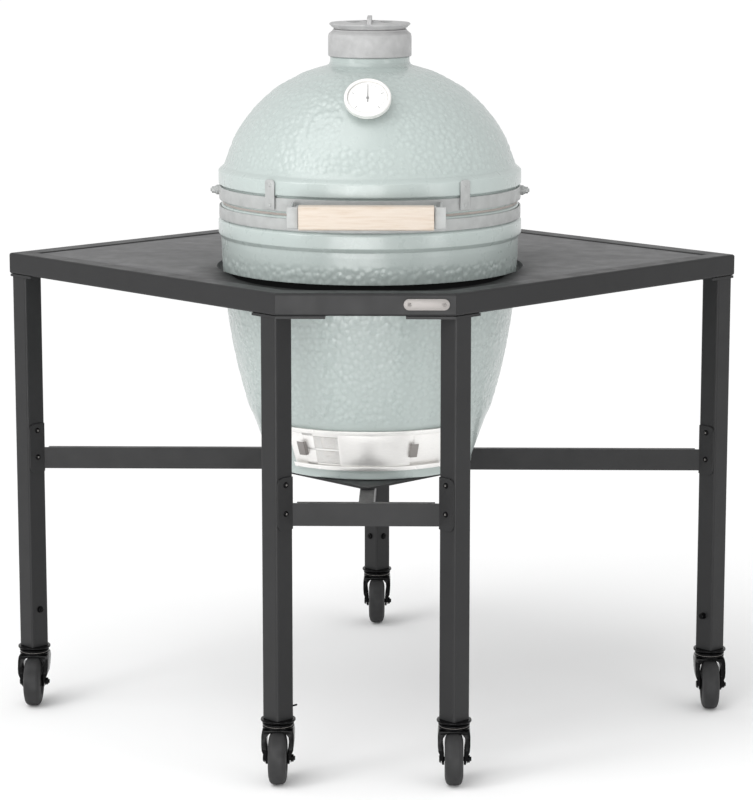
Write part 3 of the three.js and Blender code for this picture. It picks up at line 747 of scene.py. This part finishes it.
def hinge_ear(x0, x1, levels, sign):
    """Arm from the band out to the pin with a knuckle round it; sign +1 is above the pin."""
    z0, z1 = levels
    foot = (z1 if sign > 0 else z0) - sign
    near = (z0 if sign > 0 else z1) + 2 * sign
    start = math.sqrt(BAND_OUT ** 2 - max(abs(x0), abs(x1)) ** 2) - 1.5
    arm = sorted((foot, near))
    stand = sorted((near + 4 * sign, HINGE_Z + 6 * sign))
    return [block((x0, start, arm[0]), (x1, HINGE_Y - 4, arm[1])),
            block((x0, HINGE_Y - 7.5, stand[0]), (x1, HINGE_Y + 6, stand[1])),
            lathe_knuckle(x0, x1)]


def lathe_knuckle(x0, x1):
    outline = fillet([(4.3, x0), (9, x0), (9, x1), (4.3, x1)], 0.6, 2)
    return moved(lathe_mesh(outline, 40), at(0, HINGE_Y, HINGE_Z) @ ALONG_X)


def hex_mesh(radius, low, high):
    """A hexagon head with its corners turned off."""
    nut = prism_mesh(circle(radius * 1.155, 6), low, high)
    wide, flat = radius * 1.17, radius * 0.92
    limit = turned([(0, low - 1), (wide, low - 1), (wide, high - 1.1), (flat, high), (0, high)], 0, 48)
    return combined(nut, [limit], "INTERSECT")


def side_stud(sign):
    """Hexagon bolt with two washers through the upper band's side lug."""
    z = (UPPER_BAND[0] + UPPER_BAND[1]) / 2 + 1.6
    parts = [disc(9, 277, 284.5, 1.5, 40), disc(7.2, 284, 287.2, 0.7, 40), hex_mesh(5.4, 287, 292.6),
             disc(3.2, 292, 295, 0.8, 24)]
    return [moved(part, at(0, 0, z) @ (ALONG_X if sign > 0 else turn(-90, "Y"))) for part in parts]


def build_lower_band():
    ears = [m for x0, x1 in ((30, 48), (-48, -30)) for m in hinge_ear(x0, x1, LOWER_BAND, -1)]
    strip = ring_mesh(BAND_IN, BAND_OUT, *LOWER_BAND, 1.2, 240)
    drawn("lower_band_strip", [strip, *ears], "root", "band_steel", ["lower_band"])
    pin = [rod(4, -52, 52, sides=32), rod(7, 48.6, 53, edge=1.2, sides=40),
           rod(7, -53, -48.6, edge=1.2, sides=40)]
    drawn("hinge_bolt", pin, "root", "stainless", ["hinge_pin"],
          place=at(*HINGE) @ IN_MM)
    turns, steps = 7, 24
    coil = [(-9 + 18 * t / (turns * steps),
             6.7 * math.cos(2 * math.pi * t / steps), 6.7 * math.sin(2 * math.pi * t / steps))
            for t in range(turns * steps + 1)]
    tail = [(-9, 6.7, -0.1 * k) for k in (40, 20)]
    drawn("hinge_coil", [tube_mesh([*tail, *coil], 1.05, 10)], "root", "stainless",
          ["hinge_spring"], place=at(*HINGE) @ IN_MM)


def band_tab(angle):
    """Upright tab with a round head that laps over the lid's rim, held by two rivets."""
    width, head = 21, 1064
    outline = fillet([(-width / 2, UPPER_BAND[0] + 3), (width / 2, UPPER_BAND[0] + 3),
                      (width / 2, head, 7), (-width / 2, head, 7)], 1, 5)
    flat = plate_mesh(outline, 0, 2.6)
    rivets = [moved(turned([(0, 2.4), (3.4, 2.4), (3.2, 3.6), (0, 4.4)], 0.5, 32), at(0, z, 0))
              for z in (1018, 1055)]
    stand = turn(angle, "Z") @ at(0, -280.7, 0) @ turn(90, "X")
    return [moved(part, stand) for part in [flat, *rivets]]


def build_upper_band():
    ears = [m for x0, x1 in ((10.5, 29.4), (-29.4, -10.5)) for m in hinge_ear(x0, x1, UPPER_BAND, 1)]
    studs = side_stud(1) + side_stud(-1)
    tabs = band_tab(38) + band_tab(-38)
    strip = ring_mesh(BAND_IN, BAND_OUT, *UPPER_BAND, 1.2, 240)
    drawn("upper_band_strip", [strip, *ears, *studs, *tabs], "lid", "band_steel", ["upper_band"])


def build_gaskets():
    for name, body, low, high in (("base_gasket", "root", SPLIT_MM - 1.7, SPLIT_MM - 0.15),
                                  ("lid_gasket", "lid", SPLIT_MM + 0.15, SPLIT_MM + 2)):
        drawn(name + "_felt", [ring_mesh(250, 272, low, high, 0.5)], body, "felt", [name])


def build_handle():
    """Rounded wooden bar between two steel cheeks whose arms reach back to the band."""
    bar = prism_mesh(fillet([(-13.4, -21.4), (13.4, -21.4), (13.4, 21.4), (-13.4, 21.4)], 5, 6),
                     -118.5, 118.5)
    bar = bevelled(moved(bar, at(0, -328.3, 1008.5) @ turn(90, "X") @ turn(90, "Y")), 1.2, 3)
    drawn("handle_bar", [bar], "lid", "handle_wood", ["wooden_handle"])
    parts = []
    for side in (-1, 1):
        cheek = fillet([(-331, 989), (-331, 1028), (-309, 1028), (-309, 989)], 3, 4)
        cheek = moved(plate_mesh(cheek, 119.2, 122.4, 0.6), YZ_FLAT)
        lip = block((119.4, -331.5, 989.5), (139, -328.6, 1027.5), 1.1, 3)
        arm = fillet([(-330.5, 1004), (-330.5, 1027), (-302, 1028), (-249.5, 1028), (-249.5, 1011),
                      (-302, 1008)], 3, 4)
        arm = moved(plate_mesh(arm, 129.5, 132.7, 0.6), YZ_FLAT)
        foot = block((119.4, -312.6, 1001), (139, -309.4, 1026), 0.9)
        bolt = [moved(hex_mesh(4.6, 132.7, 136.4), at(0, -290, 1018) @ ALONG_X)]
        group = [cheek, lip, arm, foot, *bolt]
        if side < 0:
            group = [moved(part, Matrix.Scale(-1, 4, (1, 0, 0))) for part in group]
        parts += group
    strap = block((-120.2, -314.4, 1000), (120.2, -311.2, 1018), 0.9)
    drawn("handle_arms", [strap, *parts], "lid", "band_steel", ["handle_bracket"])


# ---- thermometer and vent ----

def build_gauge():
    cup = [(0, -13), (36.5, -13), (42, -8.5), (42, 0.4), (39.8, 2), (36.8, 2), (36.2, 0.6), (36, -3),
           (0, -3)]
    case = [turned(cup, 0.9, 128), disc(12, -19, -12.5, 0.8, 48),
            moved(hex_mesh(9, -0.1, 4.6), at(0, 0, -17.5)), disc(4, -80, -18, 2, 32)]
    drawn("gauge_case", case, "lid", "stainless", ["thermometer_case"], GAUGE_FRAME)
    drawn("gauge_dial", [disc(35.4, -2.7, -2.1, 0.1, 96)], "lid", "dial_white",
          ["thermometer_dial"], GAUGE_FRAME)
    marks = []
    for k in range(21):
        a = math.radians(-135 + 13.5 * k)
        half, start = (0.55, 25.5) if k % 5 == 0 else (0.3, 28.5)
        tick = box_mesh((-half, start, -2.15), (half, 31, -2.03))
        marks.append(moved(tick, Matrix.Rotation(-a, 4, "Z")))
    drawn("gauge_marks", marks, "lid", "grate_iron", (), GAUGE_FRAME)
    needle = [(-0.9, -9), (0.9, -9), (0.7, 0), (0.3, 27), (-0.3, 27), (-0.7, 0)]
    pointer = plate_mesh(needle, -1.2, -0.5, 0.1)
    drawn("gauge_needle", [pointer, disc(2.4, -1.7, 0, 0.5, 40)], "needle", "grate_iron",
          ["thermometer_needle"], GAUGE_FRAME)


def slotted(mesh, low, high, inner=20, outer=44):
    """Three curved draft slots through a disc."""
    tools = [prism_mesh(wedge_outline(a - 22, a + 22, inner, outer), low, high)
             for a in (60, 180, 300)]
    return combined(mesh, tools, "DIFFERENCE")


def build_vent():
    body = fillet([(52.2, 1255.2), (57.2, 1255.2), (57.4, 1268.3), (75.4, 1268.4), (76.6, 1269.8),
                   (76.6, 1304), (75.4, 1309.4), (68.6, 1315), (67.4, 1317.8), (52.2, 1317.9)], 0.9, 4)
    boss = moved(disc(3, 1304, 1324.4, 0.8, 32), at(0, 60, 0))
    drawn("cap_body", [lathe_mesh(body, 240), boss], "lid", "vent_iron", ["vent_cap"])
    cover = turned([(0, 1318.4), (65.4, 1318.4), (65.9, 1319), (65.4, 1325), (0, 1325)], 0.3, 240, 3)
    holes = [disc(5.3, 1310, 1340, 0, 32), moved(disc(3.3, 1310, 1340, 0, 24), at(0, 60, 0))]
    cover = combined(slotted(cover, 1310, 1340), holes, "DIFFERENCE")
    smooth(cover, 35)
    drawn("cap_cover", [cover], "vent_cover", "vent_iron", ["vent_cover"])
    lens = [(0, 1325.6), (66.3, 1325.6, 0.2), (66.4, 1320.6, 0.3), (68.4, 1320.6, 0.6),
            (74.2, 1326.2, 0.8), (74.6, 1327.8, 0.8), (72, 1329.6, 3), (52, 1331), (0, 1331.6)]
    wheel = slotted(turned(lens, 3, 240), 1315, 1345)
    smooth(wheel, 35)
    rib = fillet([(-73.4, 1326.5), (16, 1326.5), (16, 1341.6, 3), (-73.4, 1341.6, 6)], 0.5, 5)
    rib = bevelled(moved(prism_mesh(rib, -4, 4), YZ_FLAT), 1.8, 4)
    drawn("cap_wheel", [wheel, rib, disc(5, 1319, 1326.4, 0.5, 32), disc(7.5, 1331, 1333.6, 1, 40)],
          "vent_wheel", "vent_iron", ["vent_wheel"])


# ---- inside ----

GRID_R = 227                            # radius of the cooking grid's rim wire


def build_inside():
    floor = 545.3
    profile = [(150, floor), (163, 552), (192, 626), (212, 703), (229, 794), (229, 800), (207, 800),
               (190, 703), (155, 650), (140, 640), (100, 640), (100, 612), (128, 600), (132, floor)]
    firebox = lathe_mesh(fillet(profile, 2.5, 3), 120)
    mouth = prism_mesh(wedge_outline(DRAFT_FROM, DRAFT_TO, 90, 260), floor - 1, 590)
    firebox = combined(firebox, [mouth], "DIFFERENCE")
    smooth(firebox, 35)
    drawn("clay_firebox", [firebox], "root", "firebrick", ["firebox"])
    ring = ring_mesh(208, 232, 800.4, 924.9, 2.5)
    drawn("clay_fire_ring", [ring], "root", "firebrick", ["fire_ring"])
    slots = []
    for y in (-80, -40, 0, 40, 80):
        half = math.sqrt(115 ** 2 - y ** 2)
        slot_line = fillet([(-half, y - 7), (half, y - 7), (half, y + 7), (-half, y + 7)], 6, 5)
        slots.append(prism_mesh(slot_line, 600, 700))
    grate = combined(disc(136, 640.4, 648, 1.5, 120), slots, "DIFFERENCE")
    drawn("fire_grate", [bevelled(grate, 0.8)], "root", "grate_iron", ["charcoal_grate"])
    low = 925.4
    wires = [lathe_mesh(circle(3, 16, (GRID_R, low + 3)), 160)]
    for k in range(-13, 14):
        x = 17 * k
        half = math.sqrt(GRID_R ** 2 - x ** 2)
        radius = 2.6 if k % 3 == 0 else 2.0
        wires.append(tube_mesh([(x, -half, low + 3.2), (x, half, low + 3.2)], radius, 10))
    for y in (-80, 80):
        half = math.sqrt(GRID_R ** 2 - y ** 2)
        wires.append(tube_mesh([(-half, y, low + 2.2), (half, y, low + 2.2)], 2.2, 10))
    drawn("grid_wires", wires, "root", "stainless", ["cooking_grid"], angle=50)


def wedge_outline(a0, a1, r0, r1, steps=12):
    angles = [a0 + (a1 - a0) * k / steps for k in range(steps + 1)]
    return [from_front(a, r1) for a in angles] + [from_front(a, r0) for a in reversed(angles)]


# ---- draft door ----

def pull_tab(web, lip, near, level):
    """Web standing out of a sheet, with a lip that turns away from the window."""
    parts = [bent_sector(web, web + 0.8, near, 13, level - 13, level + 13),
             bent_sector(min(web, lip), max(web + 0.8, lip), 12, 13.2, level - 13, level + 13)]
    return [bevelled(part, 0.45) for part in parts]


FRAME_HALF = 42                         # half the steel frame's arc, in degrees
SCREEN_FROM, SCREEN_TO = -33, 9.5
DOOR_FROM, DOOR_TO = -14, 22
RIVET = [(0, 1.3), (1.4, 1.05), (2.4, 0.4), (2.6, -0.4), (0, -0.4)]


def build_draft():
    """Stainless frame with two tracks, the mesh screen in the inner one, the door in the outer."""
    low, high, sill, head = 531, 608.5, DRAFT_SILL / MM, DRAFT_HEAD / MM
    parts = [bent_sector(-FRAME_HALF, FRAME_HALF, 1, 2.2, head, high),
             bent_sector(-FRAME_HALF, FRAME_HALF, 1, 2.2, low, sill),
             bent_sector(-FRAME_HALF, DRAFT_FROM, 1, 2.2, sill - 0.2, head + 0.2),
             bent_sector(DRAFT_TO, FRAME_HALF, 1, 2.2, sill - 0.2, head + 0.2)]
    for z0, z1, lip in ((low, low + 4.5, low + 8), (high - 4.5, high, high - 8)):
        parts.append(bent_sector(-FRAME_HALF, FRAME_HALF, 1.5, 7.5, z0, z1))
        parts.append(bent_sector(-FRAME_HALF, FRAME_HALF, 6.7, 8, min(z0, lip), max(z1, lip)))
    rivets = []
    for angle in (-40.5, -26, 26, 40.5):
        for z in (low + 2.2, high - 2.2):
            seat = at(*on_cone(0, z, 8)) @ turn(90, "X")
            rivets.append(moved(turned(RIVET, 0, 20), turn(angle, "Z") @ seat))
    drawn("draft_surround", [bevelled(joined(parts), 0.3), *rivets], "root", "stainless",
          ["draft_frame"])
    inner, outer = low + 5, high - 5
    half_z = (inner + outer) / 2
    # screen: a sheet frame round two rows of crossed wires, with a turned-out tab
    bars = [bent_sector(SCREEN_FROM, SCREEN_TO, 2.8, 4, z0, z1) for z0, z1 in
            ((inner, sill + 3), (half_z - 2, half_z + 2), (head - 3, outer))]
    bars += [bent_sector(a0, a1, 2.8, 4, inner, outer) for a0, a1 in
             ((SCREEN_FROM, -27), (-14.4, -10.6), (4.6, SCREEN_TO))]
    mesh_wires = []
    for z0, z1 in ((sill + 3, half_z - 2), (half_z + 2, head - 3)):
        count = round((z1 - z0) / 1.8)
        for i in range(1, count):
            z = z0 + (z1 - z0) * i / count
            arc = [on_cone(-27 + 31.6 * k / 27, z, 3.4) for k in range(28)]
            mesh_wires.append(tube_mesh(arc, 0.45, 5))
        angle = -26.6
        while angle < 4.4:
            line = [on_cone(angle, z, 3.4) for z in (z0, z1)]
            mesh_wires.append(tube_mesh(line, 0.45, 5))
            angle += 0.5
    drawn("screen_mesh", [bevelled(joined(bars), 0.2), *mesh_wires], "draft_screen", "stainless",
          ["draft_screen"])
    # both pulls take the darker badge steel: painted shade on stainless pulls
    drawn("screen_pull", pull_tab(-32.5, -35.5, 3.5, half_z), "draft_screen", "badge_steel")
    door = bent_sector(DOOR_FROM, DOOR_TO, 4.6, 6, inner, outer)
    drawn("sliding_door", [bevelled(door, 0.3)], "draft_door", "stainless", ["draft_door"])
    drawn("door_pull", pull_tab(20.7, 24.5, 5.5, half_z), "draft_door", "badge_steel")


# ---- casters ----

AXLE = (-20, 47)                        # a wheel's axle, ahead of its swivel axis and above the floor


def both_sides(half):
    """An outline mirrored about its second number."""
    return [*half, *[(r, -x) for r, x in reversed(half)]]


def build_caster_wheel(name):
    """Crowned tyre on a ribbed core; both turn about the axle."""
    place = at(*pivot("wheel_spin_" + name)) @ IN_MM
    half = [(27, 14.6), (29, 16.7), (35, 16.2), (41, 14.6), (45, 12), (46.7, 8.4), (47, 3)]
    tyre = moved(lathe_mesh(fillet(both_sides(half), 2.2, 4), 120), ALONG_X)
    drawn("tyre_" + name, [tyre], "wheel_" + name, "caster_tread", ["caster_wheel_" + name], place)
    half = [(4.3, 16.8), (9.5, 16.8), (10.6, 15.6), (11.2, 12), (25, 11.6), (26.4, 14), (28, 14.6)]
    core = moved(lathe_mesh(fillet(both_sides(half), 0.8, 3), 120), ALONG_X)
    ribs = []
    for k in range(6):
        for low, high in ((10.4, 13), (-13, -10.4)):
            rib = moved(block((10, -1.1, low), (26.6, 1.1, high), 0.5), turn(60 * k, "Z"))
            ribs.append(moved(rib, ALONG_X))
    drawn("wheel_core_" + name, [core, *ribs], "wheel_" + name, "caster_tread", (), place)


def build_caster(name):
    """Flange and king pin on the leg, ball race and fork that swivel, and the axle bolt."""
    place = at(*pivot("caster_swivel_" + name).xy, 0) @ IN_MM
    flange = turned([(0, 110.2), (27, 110.2), (30.6, 111), (31.4, 113), (30.8, 115, 0.5), (0, 115)],
                    0.8, 96)
    plug = moved(block((-17.6, -17.6, 114), (17.6, 17.6, 145), 0.6), turn(45, "Z"))
    pin = [disc(5, 94.8, 112, 0.3, 32), disc(8, 94.7, 96.6, 0.5, 32)]
    drawn("foot_flange_" + name, [flange, plug, *pin], "root", "caster_metal",
          ["caster_mount_" + name], place)
    bolt = [rod(4, -26, 31, *AXLE, 0.8, 24)]
    for side, end in ((1, 28.4), (-1, 26.6)):
        seat = at(0, *AXLE) @ turn(90 * side, "Y")
        bolt += [moved(disc(8.2, 22.9, 23.9, 0.3, 40), seat), moved(hex_mesh(6.2, 23.9, end), seat)]
    drawn("axle_bolt_" + name, bolt, "caster_" + name, "caster_metal", ["caster_axle_" + name], place)
    outer = [(20.8, 36), (22.4, 47), (24.4, 55), (28, 64), (29, 74), (29, 89), (27.6, 98.4)]
    inner = [(17.5, 36), (17.6, 52), (18.1, 62), (19.4, 72), (20.2, 80), (19.4, 87, 3), (15, 92.5),
             (8, 95.6)]
    mirror = lambda points: [(-point[0], *point[1:]) for point in points]
    arch = fillet([*outer, *reversed(mirror(outer)), *mirror(inner), *reversed(inner)], 2.2, 4)
    side = fillet([(-25, 102), (-26.4, 92), (-35, 66), (-35.5, 50), (-30, 38.5, 9), (-20, 35.8, 9),
                   (-10, 38.5, 9), (-5.5, 50), (25.8, 90), (25, 102)], 4, 4)
    cheeks = combined(moved(prism_mesh(arch, -30, 44), turn(90, "X")),
                      [moved(prism_mesh(side, -40, 40), YZ_FLAT)], "INTERSECT")
    cheeks = combined(cheeks, [disc(5.3, 90, 115, 0, 24), rod(4.3, -30, 30, *AXLE, 0, 24)],
                      "DIFFERENCE")
    race = lathe_mesh(fillet([(5.3, 96.4), (24, 96.4), (27.6, 98.6), (28.2, 101.6, 0.8),
                              (25.6, 102.8, 0.8), (25.6, 104, 0.8), (28.4, 105.2, 0.8),
                              (28.2, 107.6), (24.5, 109.5), (5.3, 109.5)], 1.2, 4), 96)
    drawn("fork_" + name, [bevelled(cheeks, 0.8), race], "caster_" + name, "caster_metal",
          ["caster_fork_" + name], place)
    # a thin pale ring on the black race: a painted highlight standing for the glints on the ball race
    drawn("race_glint_ring_" + name, [ring_mesh(24.5, 27, 103.1, 103.8, 0.3, 96)], "caster_" + name,
          "badge_steel", (), place)


# ---- screws ----

def screw_mesh(radius=5.2, height=2.8):
    """Pan head with a round recess, its seat at z = 0."""
    dome = [(0, -0.6), (radius, -0.6), (radius, 0.5), (radius * 0.86, height * 0.8),
            (radius * 0.6, height), (radius * 0.5, height), (radius * 0.44, height - 0.9),
            (0, height - 0.9)]
    return turned(dome, 0.4, 40, 3)


def cross_mesh(radius=5.2, height=2.8):
    """Bright cross in a screw's recess; on the black tab screws it is a painted highlight."""
    arm = radius * 0.4
    return joined([block((-arm, -0.7, height - 1.3), (arm, 0.7, height - 0.3), 0.2),
                   block((-0.7, -arm, height - 1.3), (0.7, arm, height - 0.3), 0.2)])


def bolt_mesh(reach):
    """Hexagon bolt with a washer, standing off a leg's face by its reach."""
    return joined([disc(6.6, -0.4, 1.2, 0.4, 40), hex_mesh(5.2, 1.2, 1.2 + reach),
                   disc(2.6, reach, reach + 2.4, 0.6, 24)])


def facing(place, normal, spin=0):
    """Seats a fastener at a place with its head along the normal."""
    quat = Vector(normal).to_track_quat("Z", "Y")
    return at(*place) @ quat.to_matrix().to_4x4() @ turn(spin, "Z")


def build_fasteners():
    legs = {name: pivot("caster_swivel_" + name) / MM for name in LEGS}
    unit = 1 / math.sqrt(2)
    right, left = Vector((unit, -unit, 0)), Vector((-unit, -unit, 0))    # front faces of a leg
    spot = lambda name, side, off, z: Vector((*(legs[name] + side * off).xy, z))
    tabs = []
    for k, (name, side) in enumerate((("left", right), ("right", left), ("front_left", right),
                                      ("front_right", left), ("back", right), ("back", left))):
        for z in (491, 543):
            tabs.append(facing(spot(name, side, 23.3, z), side, 31 * k + z))
    drawn("tab_screws", copies(screw_mesh(), tabs), "root", "caster_metal", (), IN_MM)
    # the bright crosses are painted highlights on the black screw heads
    drawn("tab_screw_glints", copies(cross_mesh(), tabs), "root", "badge_steel", (), IN_MM)
    back_right = Vector((unit, unit, 0))
    feet = (("left", right, 189, 3.4), ("right", left, 182, 8), ("back", right, 188, 2.6),
            ("back", left, 188, 2.6))
    bolts = [moved(bolt_mesh(reach), facing(spot(name, side, 20, z), side, 12))
             for name, side, z, reach in feet]
    tip = spot("front_left", back_right, 20, 134) + 9 * right
    bolts.append(moved(disc(1.7, -1, 17, 0.5, 20), facing(tip, back_right)))
    drawn("leg_bolts", bolts, "root", "caster_metal", (), IN_MM)


def build_badge():
    """Brushed blank plate with a raised rim and two screws."""
    low, high = [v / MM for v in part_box("name_badge")]
    centre, half, radius = (low + high) / 2, (high.x - low.x) / 2, (high.z - low.z) / 2

    def pill(inset):
        points = []
        for side, start in ((1, -90), (-1, 90)):
            for k in range(25):
                a = math.radians(start + 7.5 * k)
                points.append((side * (half - radius) + (radius - inset) * math.cos(a),
                               (radius - inset) * math.sin(a)))
        return points

    plate = plate_mesh(pill(0), 0, 2.2, 0.4)
    rim = combined(prism_mesh(pill(1.0), 1.8, 2.7), [prism_mesh(pill(1.9), 1, 4)], "DIFFERENCE")
    seats = [moved(mesh, at(x, 0, 2.2) @ turn(20 * x, "Z")) for x in (9.5 - half, half - 9.5)
             for mesh in (screw_mesh(3.6, 1.5), cross_mesh(3.6, 1.5))]
    place = IN_MM @ at(centre.x, high.y, centre.z) @ turn(90, "X")
    drawn("badge_plate", [plate, rim, *seats], "root", "badge_steel", ["name_badge"], place)


# ---- table top ----

def build_panel():
    """Sheet with a round cut-out whose rim is folded down. Its corners are the CAD panel's."""
    mesh = NODES["top_panel"].data
    low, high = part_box("top_panel")
    points = {tuple(round(c, 5) for c in v.co) for v in mesh.vertices}
    corners = [Vector(p[:2]) for p in points
               if abs(p[2] - high.z) < 1e-4 and (Vector(p[:2]) - AXIS.xy).length > 0.3]
    centre = sum(corners, Vector((0, 0))) / len(corners)
    corners.sort(key=lambda c: math.atan2(c.y - centre.y, c.x - centre.x))
    outline = []
    for i, here in enumerate(corners):
        back = (corners[i - 1] - here).normalized()
        ahead = (corners[(i + 1) % len(corners)] - here).normalized()
        outline.append(tuple(here + (back + ahead) * (0.05 * MM / math.sin(back.angle(ahead)))))
    cutout, thick = 283 * MM, 3 * MM
    on_axis = at(AXIS.x, AXIS.y, 0)
    sheet = prism_mesh(outline, high.z - thick, high.z)
    hole = moved(prism_mesh(circle(cutout + thick, 240), low.z, high.z + 0.01), on_axis)
    sheet = bevelled(combined(sheet, [hole], "DIFFERENCE"), 0.7 * MM, 3)
    foot = low.z - 6 * MM
    rim = fillet([(cutout, foot), (cutout + thick, foot), (cutout + thick + 0.2 * MM, high.z),
                  (cutout, high.z, 1.6 * MM)], 0.3 * MM, 4)
    piece("work_panel", joined([sheet, moved(lathe_mesh(rim, 240), on_axis)]), "root", "panel_steel",
          ["top_panel"])


# ---- stage ----

def build_stage():
    floor = added("studio_floor", box_mesh((-200, -200, -0.02), (200, 200, 0)))
    paper = Finish("studio_paper", (0.9, 0.9, 0.9), 0.9)
    paper.put("Specular IOR Level", 0.0)
    floor.data.materials.append(paper.material)

    world = bpy.data.worlds.new("studio")
    bpy.context.scene.world = world
    world.use_nodes = True
    background = world.node_tree.nodes["Background"]
    background.inputs["Color"].default_value = (1, 1, 1, 1)
    background.inputs["Strength"].default_value = 0.86
    bpy.context.scene.view_settings.view_transform = "Standard"

    sun = bpy.data.lights.new("key_sun", "SUN")
    sun.energy, sun.angle = 1.05, math.radians(50)
    key = added("key_sun", sun)
    key.rotation_euler = Vector((0.42, 0.38, -0.82)).to_track_quat("-Z", "Y").to_euler()

    def softbox(name, place, size, power, aim=(0, -0.2, 0.8)):
        light = bpy.data.lights.new(name, "AREA")
        light.shape, light.size, light.size_y, light.energy = "RECTANGLE", *size, power
        obj = added(name, light)
        obj.location = place
        obj.rotation_euler = (Vector(aim) - Vector(place)).to_track_quat("-Z", "Y").to_euler()

    softbox("low_softbox", (-0.5, -3.6, 0.6), (2.4, 1.0), 42, (0, -0.3, 0.6))
    softbox("right_softbox", (2.9, -2.6, 0.9), (1.0, 1.4), 10, (0.1, -0.2, 0.8))
    softbox("left_softbox", (-2.6, -2.2, 1.9), (0.9, 1.8), 20, (0, -0.2, 1.1))


CAMERA = {"place": (0.1065, -5.7819, 1.6352), "yaw": -0.966, "pitch": 10.238, "roll": 0.011,
          "lens": 136.35}


def build_camera():
    camera = added("camera", bpy.data.cameras.new("camera"))
    camera.data.lens = CAMERA["lens"]
    camera.data.sensor_width = 36
    camera.location = CAMERA["place"]
    camera.rotation_euler = (Matrix.Rotation(math.radians(-CAMERA["yaw"]), 3, "Z")
                             @ Matrix.Rotation(math.radians(90 - CAMERA["pitch"]), 3, "X")
                             @ Matrix.Rotation(math.radians(CAMERA["roll"]), 3, "Z")).to_euler()
    bpy.context.scene.camera = camera


# ---- everything ----

dress_cad()
build_base()
build_dome()
build_lower_band()
build_upper_band()
build_gaskets()
build_handle()
build_gauge()
build_vent()
build_inside()
build_draft()
for leg in LEGS:
    build_caster(leg)
    build_caster_wheel(leg)
build_fasteners()
build_badge()
build_panel()
build_stage()
build_camera()
